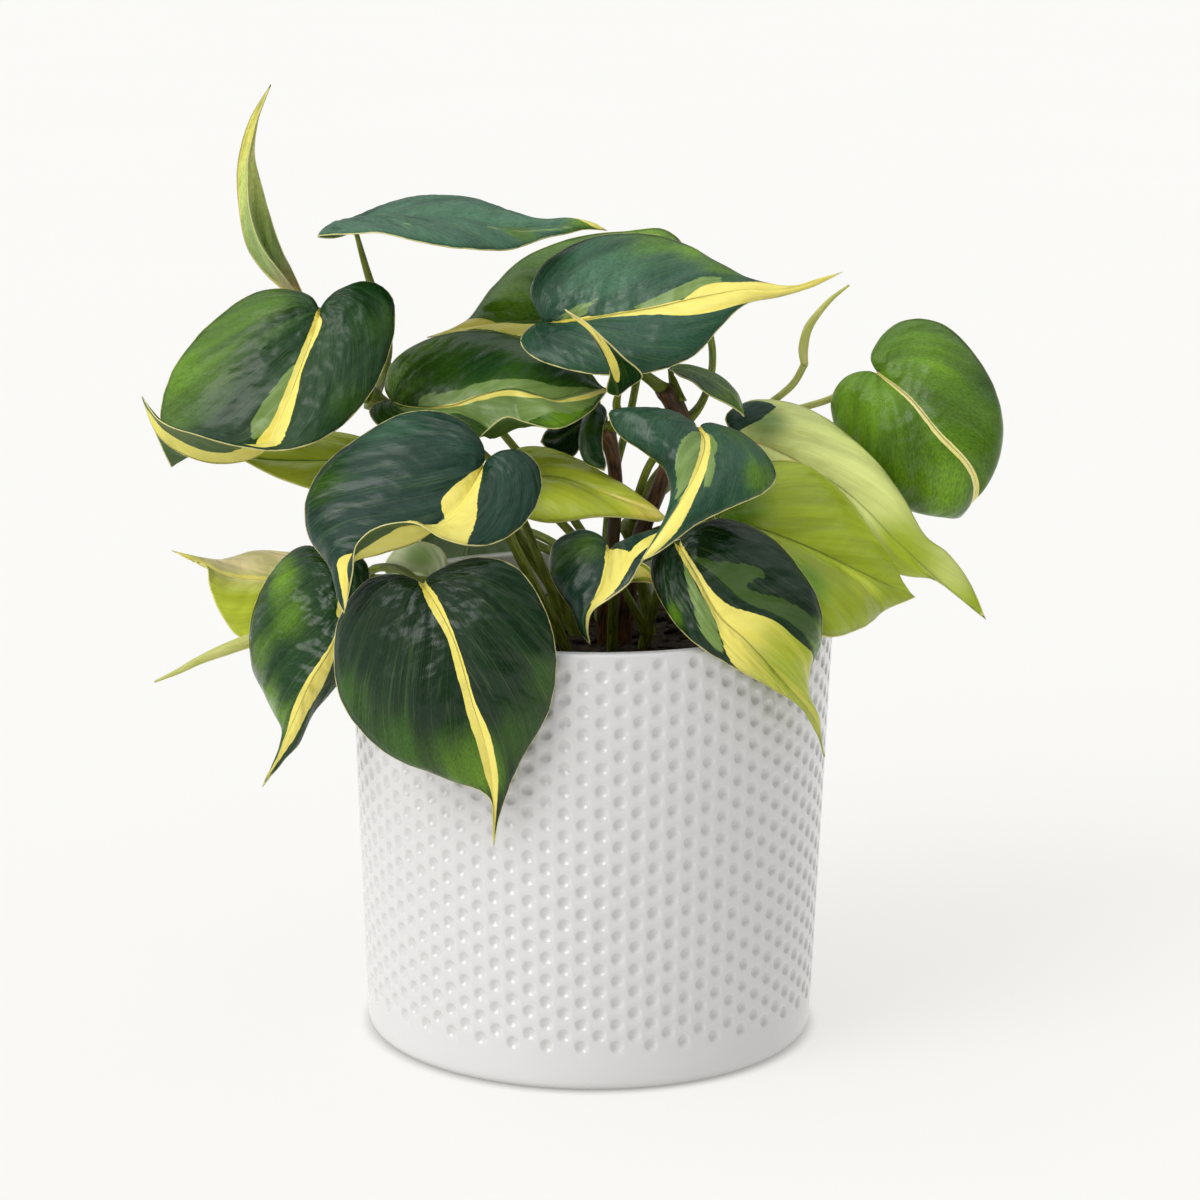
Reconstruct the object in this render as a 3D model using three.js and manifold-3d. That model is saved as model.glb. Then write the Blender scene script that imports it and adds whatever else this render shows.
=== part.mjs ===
// A potted heartleaf philodendron with yellow-striped leaves, in a white pot with pressed dimples.
// Millimetres, +Z up. The origin is the middle of the pot's underside, and the front faces -Y.

import * as THREE from 'three';
import Module from 'manifold-3d';

const wasm = await Module();
wasm.setup();

// Driving dimensions of the pot. Its wall leans out from the foot to the rim.
const POT = {
  height: 118,
  rimRadius: 65,
  footRadius: 60.5,
  wall: 4,
  floor: 5,
  lip: 1.5,
  footCorner: 3,
  plainFoot: 11,
  plainRim: 3.5,
  columns: 60,
  pitRows: 18,
  pitDepth: 0.8,
};

// The soil fills the pot up to a little below the rim.
const SOIL = { top: 107, edgeDrop: 1, clearance: 0.4, columns: 36, rings: 7, roughness: 1.2, seed: 7 };

// Leaf blades, stems and the play that one piece keeps to the next.
const BLADE = {
  thickness: 0.8,
  rows: 12,
  columns: 2,
  fineRows: 16,
  fineColumns: 3,
  ribPull: 1.6,
  fullArchWidth: 18,
  seatRow: 0.15,
};
const STEM = {
  sides: 6,
  stepLength: 9,
  rootDepth: 93,
  tipRadius: 0.65,
  tipBehindBlade: 1.4,
  tipInset: 1,
  spearGap: 0.9,
};
const PLAY = 0.3;

// Blades with a folded tip or a waved margin have a finer mesh than the others.
const FINE_BLADES = ['leaf_front', 'leaf_centre_left', 'leaf_upper_left', 'leaf_mid_left',
  'leaf_centre_right', 'leaf_small_heart', 'leaf_right_front'];

const MATERIALS = {
  glaze: new THREE.MeshStandardMaterial({ color: 0xe4e2df, roughness: 0.2, metalness: 0 }),
  soil: new THREE.MeshStandardMaterial({ color: 0x2a1f18, roughness: 0.95, metalness: 0 }),
  blade: new THREE.MeshStandardMaterial({ color: 0x3d6b23, roughness: 0.4, metalness: 0 }),
  limeBlade: new THREE.MeshStandardMaterial({ color: 0x9fae2e, roughness: 0.4, metalness: 0 }),
  brownStem: new THREE.MeshStandardMaterial({ color: 0x6a4326, roughness: 0.6, metalness: 0 }),
  greenStem: new THREE.MeshStandardMaterial({ color: 0x5d6b22, roughness: 0.5, metalness: 0 }),
};

// Every blade is given by its midrib and its two margins, all from the base to the tip, with left
// and right as seen on the upper face. A fourth value is the arch of the blade at that point.
// The arch is the height of a half blade over its chord, on the upper side.
const LEAVES = [
  { name: 'leaf_front', arch: 3,
    rib: [[-42.5, -60, 135], [-35, -68, 123], [-30, -71, 107], [-25.5, -70, 91], [-24.5, -66, 68]],
    left: [[-40.5, -60, 137.5], [-31, -62, 142], [-18.5, -65, 140], [-10, -68, 125], [-10, -68, 106.5],
      [-18, -69, 90.5], [-23, -67, 76.5]],
    right: [[-48, -57, 136.5], [-57, -55, 134.5], [-64.5, -54, 123], [-64.5, -58, 106.5],
      [-54.5, -64, 93.5], [-38, -68, 87], [-26, -69, 82]] },
  { name: 'leaf_left', arch: 3,
    rib: [[-64, -34, 130.5], [-66.5, -40, 115.5], [-72.5, -41, 105], [-78.5, -37, 91],
      [-86.5, -30, 73]],
    left: [[-61, -34, 136.5], [-58.5, -34, 134.5], [-58, -34, 127.5], [-58.5, -34, 119],
      [-62, -32, 109.5], [-66.5, -31, 101.5], [-73, -33, 93.5], [-76.5, -33, 86], [-81, -32, 80.5]],
    right: [[-70.5, -28, 136.5], [-76.5, -24, 136.5], [-84.5, -21, 128.5], [-89.5, -21, 117.5],
      [-89.5, -24, 105], [-83.5, -30, 94.5], [-80.5, -33, 89.5], [-82.5, -32, 80.5]] },
  { name: 'leaf_centre_left', arch: 3,
    rib: [[-28, -44, 162], [-34, -54, 154], [-43.5, -60, 146.5], [-53, -63, 143.5], [-61, -62, 140],
      [-62.5, -60, 127]],
    left: [[-24.5, -43, 164], [-18.5, -43, 166], [-14, -45, 162.5], [-13, -49, 157],
      [-16.5, -56, 150.5], [-23.5, -63, 146.5], [-31, -68, 146.5], [-38, -72, 149.5],
      [-44, -74, 153.5], [-51.5, -73, 153], [-58.5, -68, 146.5], [-60, -64, 138]],
    right: [[-28.5, -42, 166.5], [-32, -39, 172], [-39, -37, 175], [-48, -36, 174.5],
      [-58.5, -37, 169.5], [-68.5, -40, 161.5], [-73, -45, 153.5], [-72, -51, 145.5],
      [-66.5, -57, 138.5], [-64.5, -59, 131.5]] },
  { name: 'leaf_upper_left', arch: 3,
    rib: [[-71, -18, 197], [-75, -26, 186], [-79, -32, 175.5], [-85, -36, 164], [-96.5, -40, 162],
      [-106, -42, 165.5], [-111, -42, 170], [-115, -38, 178.5]],
    left: [[-67.5, -18, 201.5], [-63, -16, 204.5], [-57.5, -15, 205], [-52.5, -16, 201.5],
      [-51.5, -20, 194.5], [-53.5, -26, 186], [-58, -33, 177.5], [-66, -40, 170], [-77, -46, 166],
      [-88, -50, 167.5], [-98, -52, 170.5], [-108, -50, 173.5], [-112.5, -44, 176.5]],
    right: [[-73, -16, 201], [-80.5, -12, 203], [-90.5, -10, 200.5], [-101.5, -11, 192],
      [-109.5, -14, 181.5], [-112.5, -20, 172], [-111, -29, 165], [-108.5, -34, 159.5],
      [-111.5, -40, 169.5]] },
  { name: 'leaf_top_left_new', arch: 1, lime: true,
    rib: [[-76, 0, 198], [-82.5, 2, 201.5], [-88, 4, 206.5], [-91.5, 5, 212], [-93.5, 6, 222.5],
      [-93.5, 4, 233], [-90.5, 2, 244], [-84.5, 0, 254.5]],
    left: [[-80.5, -5, 203.5], [-87, -7, 212.5], [-90, -6, 222.5], [-90.5, -3, 232], [-89, 0, 243]],
    right: [[-79, 3, 204], [-82.5, 5, 210.5], [-85.5, 7, 218], [-88, 8, 227], [-89.5, 7, 235.5],
      [-88.5, 3, 244]] },
  { name: 'leaf_top_flat', arch: 3,
    rib: [[-64, 5, 215.5], [-51.5, 4, 218.5], [-38, 2, 219], [-25, 0, 217.5], [-13, 0, 217.5],
      [-5, 2, 218.5], [3.5, 4, 216.5]],
    left: [[-68, 10, 214], [-73, 18, 213], [-67.5, 26, 214], [-58, 32, 218], [-48.5, 32, 221],
      [-39, 30, 222], [-30.5, 26, 221], [-20, 16, 218], [-13, 8, 218], [-6.5, 5, 219.5], [0, 4, 218.5]],
    right: [[-68, -4, 215], [-72, -10, 216], [-64.5, -20, 218], [-55, -25, 219], [-44.5, -26, 217],
      [-31.5, -22, 214.5], [-22, -14, 213.5], [-13, -5, 215.5], [-7.5, 0, 216], [-2.5, 3, 217]] },
  { name: 'leaf_top', arch: 3,
    rib: [[-12, -10, 193], [1.5, -14, 196], [16, -17, 199], [27.5, -18, 202], [39, -17, 204],
      [51, -14, 204], [65, -10, 208]],
    left: [[-14.5, -8, 196], [-17, -4, 201], [-15, -1, 206.5], [-9, 3, 211], [1.5, 5, 215],
      [13.5, 5, 215.5], [25, 2, 213], [34, -5, 208.5], [41, -10, 205.5], [51, -13, 204.5],
      [59, -11, 206.5]],
    right: [[-15.5, -14, 193], [-19, -18, 190.5], [-16.5, -23, 187.5], [-8.5, -28, 185],
      [3, -30, 183.5], [15.5, -30, 184.5], [26, -28, 188.5], [32.5, -24, 195], [39, -20, 200.5],
      [48.5, -15, 202], [57.5, -12, 204.5]] },
  { name: 'leaf_top_back', arch: 3,
    rib: [[15, 22, 196], [1.5, 22, 192.5], [-13, 21, 190], [-25.5, 19, 189.5], [-35, 15, 188.5],
      [-44.5, 10, 187]],
    left: [[19, 18, 191.5], [15, 14, 184.5], [1.5, 12, 182], [-11.5, 12, 182.5], [-25, 12, 184.5],
      [-35, 11, 186.5], [-40, 10, 187.5]],
    right: [[24.5, 32, 208], [19, 38, 213], [8.5, 42, 212], [-6.5, 42, 209.5], [-20.5, 38, 203.5],
      [-28.5, 30, 196.5], [-32.5, 22, 191], [-38.5, 14, 188.5]] },
  { name: 'leaf_mid_left', arch: 3,
    rib: [[-51.5, -12, 172], [-37.5, -16, 172.5], [-29.5, -17, 175.5], [-20.5, -18, 177.5],
      [-11, -18, 175], [-3, -16, 176.5], [4, -13, 177]],
    left: [[-54, -8, 173.5], [-55.5, -3, 176], [-53.5, 2, 181.5], [-46.5, 6, 186], [-35.5, 8, 189],
      [-23.5, 7, 188.5], [-11.5, 3, 185], [-1, -4, 180], [1.5, -9, 177.5]],
    right: [[-55.5, -14, 173.5], [-58.5, -16, 172], [-56.5, -20, 168.5], [-45, -25, 164.5],
      [-32, -27, 164.5], [-27.5, -32, 169.5, -8], [-22.5, -33, 173, -8], [-16.5, -31, 171, -6],
      [-9.5, -28, 169], [-1, -20, 172], [2.5, -16, 175.5]] },
  { name: 'leaf_lime_left', arch: 2, lime: true,
    rib: [[-51, -8, 156.5], [-64, -13, 157.5], [-76.5, -17, 158], [-86.5, -18, 158.5],
      [-94.5, -18, 160.5]],
    left: [[-50, -12, 153], [-54.5, -18, 150.5], [-64.5, -22, 150], [-73.5, -24, 152],
      [-82.5, -24, 155], [-91, -20, 158.5]],
    right: [[-51, -6, 159.5], [-58, -4, 161.5], [-68.5, -4, 163.5], [-80, -9, 162.5],
      [-88.5, -15, 160.5]] },
  { name: 'leaf_far_left', arch: 2, lime: true,
    rib: [[-74, 10, 121], [-88, 6, 121], [-98.5, 3, 123], [-104.5, 2, 126], [-113, 4, 129.5]],
    left: [[-72, 4, 118.5], [-75.5, -3, 112], [-83.5, -7, 107.5], [-94, -8, 108.5], [-99, -6, 114],
      [-102.5, -3, 121.5], [-103.5, 0, 126], [-108, 3, 127]],
    right: [[-71.5, 14, 123.5], [-75, 22, 125.5], [-83, 26, 124.5], [-91.5, 25, 125],
      [-100, 17, 124.5], [-105, 8, 126.5], [-108.5, 5, 128]] },
  { name: 'leaf_lime_centre', arch: 3, lime: true,
    rib: [[-23.5, -8, 152.5], [-8.5, -14, 153.5], [2, -18, 150.5], [12.5, -22, 147.5],
      [19.5, -24, 145]],
    left: [[-24.5, -2, 155.5], [-19.5, 0, 159], [-11.5, -1, 159], [-1, -7, 156], [5, -13, 153.5],
      [8.5, -15, 152], [16.5, -20, 146.5]],
    right: [[-24.5, -16, 148], [-19, -22, 145], [-11, -27, 144], [2, -28, 146], [11, -26, 145],
      [17, -24, 144]] },
  { name: 'leaf_centre_right', arch: 3,
    rib: [[27, -26, 169], [28.5, -34, 167], [26.5, -44, 161.5], [22.5, -52, 155.5], [17.5, -58, 148.5],
      [12, -62, 141.5]],
    left: [[30.5, -26, 170.5], [38, -28, 168], [44.5, -32, 163.5], [47, -38, 159], [44, -44, 156],
      [35, -50, 153], [27, -55, 150], [20.5, -59, 146], [15.5, -61, 143]],
    right: [[24, -24, 171], [17.5, -22, 171.5], [9.5, -25, 174], [4, -28, 173.5], [6, -30, 168.5],
      [13.5, -34, 164], [18.5, -38, 160.5], [20, -44, 156], [18.5, -52, 150.5], [15.5, -58, 146.5]] },
  { name: 'leaf_small_heart', arch: 2,
    rib: [[4.5, -40, 140], [3.5, -46, 136.5], [2, -50, 131.5], [-2, -54, 125.5], [-0.5, -54, 118]],
    left: [[8.5, -40, 142], [13.5, -42, 144], [17.5, -44, 146], [16, -50, 142.5], [12.5, -54, 139.5],
      [9.5, -57, 135], [4.5, -57, 131], [0, -56, 127], [-1, -55, 121.5]],
    right: [[2, -36, 142.5], [-3.5, -33, 143.5], [-9.5, -34, 140.5], [-11, -38, 135.5],
      [-9, -43, 130.5], [-5, -48, 125.5], [-3, -52, 121]] },
  { name: 'leaf_right_front', arch: 3,
    rib: [[22, -42, 141.5], [26, -52, 136], [32, -58, 126.5], [39, -60, 120.5], [49.5, -54, 108],
      [57, -46, 97.5], [61, -38, 84.5]],
    left: [[24.5, -40, 144.5], [31.5, -37, 147], [39, -36, 146], [47, -37, 142], [54, -39, 134.5],
      [58.5, -41, 126], [59, -43, 116.5], [56, -45, 109.5], [56, -44, 103], [58.5, -41, 95]],
    right: [[19.5, -42, 142.5], [16, -43, 139], [15.5, -48, 133.5], [19.5, -55, 126.5],
      [26.5, -61, 120], [36, -61, 114], [45.5, -56, 107.5], [53.5, -49, 101], [58.5, -42, 92.5]] },
  { name: 'leaf_lime_right', arch: 3, lime: true,
    rib: [[32, -18, 143.5], [44, -19, 141], [57.5, -17, 135.5], [72.5, -12, 127.5], [86.5, -5, 120]],
    left: [[31.5, -13, 148], [36.5, -6, 153], [46, 0, 156], [55.5, 4, 154.5], [65, 6, 148],
      [74, 6, 137.5], [81, 1, 127.5], [84, -3, 122]],
    right: [[34, -22, 137.5], [40, -29, 128.5], [48.5, -39, 121.5], [60.5, -37, 116.5],
      [70.5, -25, 116], [78, -13, 118], [83, -7, 119]] },
  { name: 'leaf_pale_right', arch: 3,
    rib: [[38, 12, 160.5], [45.5, 12, 158], [56, 12, 153], [69.5, 11, 144.5], [82, 10, 132.5],
      [93, 10, 122.5], [107.5, 12, 110]],
    left: [[35.5, 14, 165], [41, 18, 168.5], [52, 24, 168], [63.5, 26, 163], [74, 24, 155],
      [83.5, 19, 144], [90.5, 14, 132.5], [97, 12, 128], [103, 12, 120]],
    right: [[41, 10, 154.5], [50.5, 9, 142], [64.5, 10, 131], [75.5, 10, 125.5], [83.5, 11, 122.5],
      [93, 11, 121.5], [100.5, 12, 117.5]] },
  { name: 'leaf_far_right', arch: 3,
    rib: [[78, 36, 174], [86.5, 28, 168], [94.5, 22, 159], [102, 21, 151.5], [104.5, 23, 146],
      [104.5, 28, 140], [102, 34, 134.5]],
    left: [[76.5, 39, 178], [79.5, 44, 183], [86, 47, 187], [96, 46, 186.5], [105, 40, 179],
      [111.5, 34, 167], [111.5, 28, 154], [107.5, 27, 144], [103.5, 31, 138]],
    right: [[75, 37, 174], [69.5, 38, 172], [66, 38, 166.5], [66.5, 35, 159.5], [70.5, 31, 150.5],
      [79, 29, 141], [89, 30, 136], [97.5, 32, 134.5], [100.5, 34, 134]] },
  { name: 'leaf_small_dark', arch: 1,
    rib: [[19.5, 0, 180.5], [25.5, -4, 180.5], [32, -6, 178], [37.5, -6, 174], [40, -4, 168.5]],
    left: [[23, 3, 181], [28.5, 4, 180], [34, 2, 178], [38.5, 0, 173.5]],
    right: [[22.5, -8, 180], [26, -12, 179], [30, -14, 176], [35, -12, 173], [38, -8, 170.5]] },
  { name: 'leaf_top_new', arch: 0, lime: true,
    rib: [[6.5, -28, 177.5], [4.5, -36, 186], [1, -42, 194.5], [-7.5, -41, 202]],
    left: [[3.5, -27, 178.5], [4, -32, 185], [1.5, -37, 192], [-2.5, -38, 197.5]],
    right: [[9, -30, 180.5], [12.5, -33, 184], [8, -39, 189.5], [2.5, -42, 195], [-2, -43, 199]] },
  { name: 'leaf_dark_curl', arch: 2,
    rib: [[1.5, -8, 173], [-1.5, -14, 169], [-2.5, -18, 164.5], [-1, -20, 159.5], [3, -20, 156.5]],
    left: [[3.5, -8, 170.5], [2.5, -13, 166.5], [2.5, -17, 161.5], [3.5, -19, 158]],
    right: [[-0.5, -6, 172], [-3, -10, 167], [-3.5, -15, 162.5], [-2, -19, 158.5]] },
  { name: 'leaf_dark_inner', arch: 1,
    rib: [[-1.5, 5, 166], [-9, 3, 161], [-14, 1, 160.5]],
    left: [[-2.5, 2, 161], [-5.5, 0, 156.5], [-11.5, 0, 158]],
    right: [[-5, 8, 167], [-10, 7, 164], [-13, 3, 162.5]] },
  { name: 'leaf_pale_back', arch: 2, lime: true,
    rib: [[-41.5, 22, 117.5], [-48, 22, 120], [-56.5, 18, 121]],
    left: [[-41.5, 20, 115], [-48.5, 18, 115.5], [-55, 18, 118.5]],
    right: [[-39.5, 24, 121.5], [-42, 28, 125.5], [-48, 30, 127], [-53.5, 27, 126], [-56.5, 22, 123]] },
  { name: 'leaf_tip_yellow', arch: 1, lime: true,
    rib: [[5, -22, 128.5], [12.5, -31, 132], [19, -36, 128]],
    left: [[8, -23, 131], [12.5, -28, 134], [16, -33, 132.5]],
    right: [[8, -26, 128], [11.5, -32, 129.5], [15.5, -36, 130]] },
  { name: 'leaf_back_top', arch: 3,
    rib: [[12.5, 48, 192], [11.5, 64, 191], [8.5, 82, 186.5], [5.5, 98, 179.5]],
    left: [[9.5, 46, 194], [-1, 52, 194.5], [-8, 66, 191.5], [-6.5, 82, 186], [2, 94, 181.5]],
    right: [[16, 46, 194.5], [26.5, 52, 194], [31.5, 66, 189.5], [27.5, 80, 186], [15, 93, 181.5]] },
  { name: 'leaf_back_right', arch: 3,
    rib: [[58.5, 50, 135.5], [62, 66, 133], [67, 82, 127], [72.5, 96, 117.5]],
    left: [[55, 49, 137.5], [46.5, 54, 136.5], [45.5, 68, 132], [54.5, 84, 124], [67.5, 94, 118.5]],
    right: [[62.5, 49, 138], [72.5, 54, 137.5], [80, 68, 131.5], [81, 82, 125], [75.5, 93, 119.5]] },
  { name: 'leaf_back_left', arch: 3,
    rib: [[-43, 48, 140.5], [-46.5, 64, 138.5], [-50.5, 80, 132], [-55, 94, 122.5]],
    left: [[-46.5, 46, 143], [-58.5, 52, 143], [-64, 66, 137.5], [-63.5, 80, 130.5],
      [-57.5, 92, 123.5]],
    right: [[-39.5, 46, 143], [-29.5, 52, 142], [-26, 66, 136], [-32.5, 82, 129], [-49, 92, 123.5]] },
  { name: 'leaf_back_low_left', arch: 3,
    rib: [[-32, 62, 126.5], [-35, 76, 121], [-39, 86, 101], [-42, 88, 78]],
    left: [[-36, 62, 128], [-45.5, 71, 124], [-52.5, 82, 107], [-49.5, 87, 88], [-44, 88, 79.5]],
    right: [[-28.5, 62, 127.5], [-21.5, 71, 123.5], [-20, 82, 106.5], [-27.5, 87, 88], [-39, 88, 79.5]] },
  { name: 'leaf_back_low_right', arch: 3,
    rib: [[41.5, 58, 128], [45, 72, 122.5], [48.5, 84, 102], [51.5, 86, 83.5]],
    left: [[37.5, 59, 128.5], [29.5, 68, 123.5], [29.5, 80, 107], [36.5, 85, 90], [48.5, 86, 84]],
    right: [[45.5, 59, 129], [55, 68, 125], [60, 80, 107.5], [58, 84, 91.5], [52.5, 86, 84.5]] },
  { name: 'leaf_back_mid', arch: 3,
    rib: [[-34, 40, 170], [-36.5, 56, 169.5], [-39.5, 72, 165.5], [-44, 88, 157.5]],
    left: [[-37.5, 39, 172.5], [-47.5, 46, 172], [-53, 60, 167], [-52.5, 74, 162], [-46.5, 86, 157.5]],
    right: [[-30.5, 39, 172.5], [-22, 46, 172], [-17.5, 60, 167.5], [-22.5, 74, 163], [-38, 86, 158]] },
  { name: 'leaf_back_far_left', arch: 3,
    rib: [[-73, 44, 175.5], [-82.5, 58, 175], [-94.5, 74, 170], [-105.5, 86, 160]],
    left: [[-71, 37, 172.5], [-79.5, 42, 166.5], [-91, 56, 161.5], [-101.5, 74, 157.5]],
    right: [[-71, 53, 177], [-77, 70, 181], [-88.5, 88, 178.5], [-101, 93, 169.5]] },
  { name: 'leaf_back_far_right', arch: 3,
    rib: [[74, 48, 156], [81, 62, 155], [89.5, 76, 149.5], [96.5, 88, 139.5]],
    left: [[72, 53, 158.5], [73, 67, 162.5], [82, 84, 161.5], [93.5, 92, 148.5]],
    right: [[76.5, 43, 154], [84.5, 47, 150], [94.5, 62, 143.5], [98.5, 78, 138]] },
];

// Each vine is a stem that comes out of the soil, with the leaf stalks that branch off it. The
// fourth value of a point is the radius. A stalk ends under the base of the leaf it carries.
const VINES = [
  { name: 'stem_brown', woody: true,
    stem: [[8, -2, 103, 2.4], [9.5, -4, 118.5, 2.3], [12.5, -4, 135, 2.3], [18.5, -4, 151.5, 2.2],
      [23, -2, 167, 2.5], [18.5, -4, 176, 1.9]],
    stalks: [
      { leaf: 'leaf_top',
        path: [[18.5, -4, 175.5, 1.5], [13.5, -5, 179.5, 1.3], [1.5, -4, 185.5, 1.2],
          [-8.5, -6, 190.5, 1.1]] },
      { leaf: 'leaf_top_back',
        path: [[24, -2, 166, 1.4], [28.5, 2, 170.5, 1.1], [31.5, 8, 178, 1], [31.5, 14, 186, 1],
          [28.5, 20, 193, 1]] },
      { leaf: 'leaf_small_dark', path: [[23, -3, 172, 1.3], [21, -1, 177.5, 1.1]] },
    ] },
  { name: 'stem_red', woody: true,
    stem: [[3, -4, 103.5, 1.9], [3.5, -6, 119, 1.9], [5.5, -6, 135.5, 1.8], [6, -7, 152, 1.9],
      [4.5, -9, 161.5, 1.9], [2.5, -9, 165.5, 2]],
    stalks: [
      { leaf: 'leaf_dark_curl', path: [[2.5, -9, 164.5, 1.2], [2.5, -8, 169.5, 1]] },
      { leaf: 'leaf_top_new',
        path: [[3.5, -9, 165.5, 1.4], [6.5, -15, 169.5, 1.3], [6, -21, 174.5, 1.1]] },
      { leaf: 'leaf_dark_inner', path: [[2.5, -8, 164.5, 1.1], [1.5, 1, 162, 1]] },
    ] },
  { name: 'petiole_centre_left', leaf: 'leaf_centre_left',
    stem: [[-6, -22, 106.5, 1.5], [-8.5, -26, 115, 1.4], [-13.5, -31, 125.5, 1.4],
      [-21.5, -39, 143.5, 1.3], [-26.5, -42, 157, 1.2]] },
  { name: 'petiole_lime_centre', leaf: 'leaf_lime_centre',
    stem: [[-8.5, -8, 104.5, 1.4], [-10, -12, 120, 1.3], [-14, -14, 131.5, 1.2],
      [-18.5, -12, 142, 1.1], [-22.5, -9, 148.5, 1]] },
  { name: 'stem_trailing',
    stem: [[-12.5, -14, 105.5, 1.9], [-19, -16, 117, 1.8], [-29.5, -20, 122.5, 1.8],
      [-38.5, -24, 126.5, 1.8], [-49, -26, 128, 1.7], [-59.5, -23, 127, 1.7], [-68, -16, 121.5, 1.5],
      [-76, -12, 116.5, 1.4], [-84, -12, 111, 1.3]],
    stalks: [
      { leaf: 'leaf_front',
        path: [[-59, -23, 127, 1.3], [-56.5, -34, 133, 1.1], [-48.5, -49, 136, 1.1]] },
      { leaf: 'leaf_left', path: [[-62, -21, 125.5, 1.3], [-63.5, -26, 128.5, 1.2]] },
      { leaf: 'leaf_far_left', path: [[-68, -16, 121.5, 1.3], [-69, -6, 115, 1.2], [-70, 4, 111, 1.1]] },
    ] },
  { name: 'stem_upper_left',
    stem: [[-2, 4, 101.5, 1.9], [-8.5, 4, 116.5, 1.8], [-19.5, 2, 133.5, 1.8], [-33, 0, 150, 1.8],
      [-46, -2, 164, 1.7], [-55.5, -4, 171, 1.7], [-59, -5, 173, 1.6]],
    stalks: [
      { leaf: 'leaf_upper_left',
        path: [[-59, -5, 172.5, 1.3], [-64.5, -2, 181.5, 1.2], [-69, -8, 191, 1.1]] },
      { leaf: 'leaf_top_left_new', path: [[-59, -5, 172.5, 1.3], [-64, 3, 183, 1.2], [-71, 1, 194, 1.1]] },
      { leaf: 'leaf_top_flat',
        path: [[-58, -5, 172.5, 1.3], [-56.5, 9, 176, 1.2], [-55, 13, 183, 1.1], [-56, 11, 191.5, 1.1],
          [-59.5, 8, 202, 1.1]] },
      { leaf: 'leaf_mid_left', path: [[-51, -3, 168.5, 1.2], [-52, -6, 170, 1.1]] },
      { leaf: 'leaf_lime_left', path: [[-40.5, -1, 159, 1.2], [-46, -4, 157, 1.1]] },
      { leaf: 'leaf_pale_back', path: [[-8.5, 4, 116, 1.2], [-24, 13, 114.5, 1.1], [-36, 20, 113.5, 1]] },
    ] },
  { name: 'stem_right',
    stem: [[16, 4, 101.5, 1.8], [14.5, 4, 117, 1.8], [11.5, 4, 132, 1.7], [11, 4, 139, 1.6]],
    stalks: [
      { leaf: 'leaf_centre_right',
        path: [[11, 4, 138, 1.2], [12.5, -8, 149.5, 1.1], [16, -14, 159, 1.1], [23, -20, 166.5, 1]] },
      { leaf: 'leaf_far_right',
        path: [[11, 4, 138, 1.2], [15, 6, 142.5, 1.1], [20.5, 9, 147, 1.1], [34.5, 19, 155, 1.1],
          [51.5, 33, 162.5, 1], [66.5, 42, 166, 1], [74, 43, 170.5, 1]] },
      { leaf: 'leaf_pale_right',
        path: [[11.5, 4, 136, 1.2], [13.5, 6, 144, 1.1], [18.5, 10, 151.5, 1.1], [29, 13, 157.5, 1.1]] },
      { leaf: 'leaf_lime_right',
        path: [[12.5, 4, 133.5, 1.2], [19, -6, 138.5, 1.1], [25.5, -12, 141, 1.1]] },
      {
        path: [[11.5, 4, 136, 1.2], [16, 10, 145.5, 1.1], [26.5, 18, 154, 1], [40, 24, 161.5, 1],
          [49.5, 26, 168, 1], [54.5, 26, 172.5, 1], [57.5, 26, 178, 1]] },
    ] },
  { name: 'stem_front', leaf: 'leaf_small_heart',
    stem: [[5.5, -12, 104, 1.5], [5.5, -18, 115, 1.4], [5.5, -27, 126.5, 1.2], [5, -34, 134.5, 1.1]] },
  { name: 'stem_front_right', leaf: 'leaf_right_front',
    stem: [[13, -12, 104, 1.5], [15.5, -18, 116.5, 1.4], [18.5, -28, 129.5, 1.3]],
    stalks: [
      { leaf: 'leaf_tip_yellow', path: [[14.5, -16, 112.5, 1.2], [10, -20, 122, 1]] },
    ] },
  { name: 'stem_back',
    stem: [[2.5, 21, 104, 2.2], [3, 24, 112, 2.2], [3.5, 28, 120, 2.1]],
    stalks: [
      { leaf: 'leaf_back_top',
        path: [[3.5, 27.5, 119, 1.3], [5, 34, 140, 1.2], [11, 39, 165.5, 1.1], [13.5, 43, 184.5, 1.1]] },
      { leaf: 'leaf_back_right',
        path: [[3.5, 27.5, 118.5, 1.3], [24.5, 39, 125, 1.2], [46, 45, 130, 1.1]] },
      { leaf: 'leaf_back_left',
        path: [[3.5, 27, 118, 1.3], [-14.5, 37, 124.5, 1.2], [-34, 43, 133, 1.1]] },
      { leaf: 'leaf_back_low_left', path: [[3, 26, 116, 1.3], [-12, 42, 125, 1.2], [-26, 54, 127, 1.1]] },
      { leaf: 'leaf_back_low_right', path: [[3, 26, 116, 1.3], [16, 40, 124, 1.2], [28, 50, 126, 1.1]] },
      { leaf: 'leaf_back_far_left',
        path: [[3.5, 28, 119.5, 1.3], [-11, 35, 134, 1.2], [-30, 40, 149.5, 1.1], [-49, 42, 168, 1.1],
          [-64, 43, 177.5, 1]] },
      { leaf: 'leaf_back_far_right',
        path: [[3.5, 28, 119.5, 1.3], [16.5, 36, 125, 1.2], [38.5, 43, 134, 1.1], [55, 47, 143.5, 1.1],
          [66, 48, 154, 1]] },
      { leaf: 'leaf_back_mid',
        path: [[3.5, 28, 119.5, 1.3], [-6, 34, 134, 1.2], [-25.5, 37, 157, 1.1]] },
    ] },
];

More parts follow.
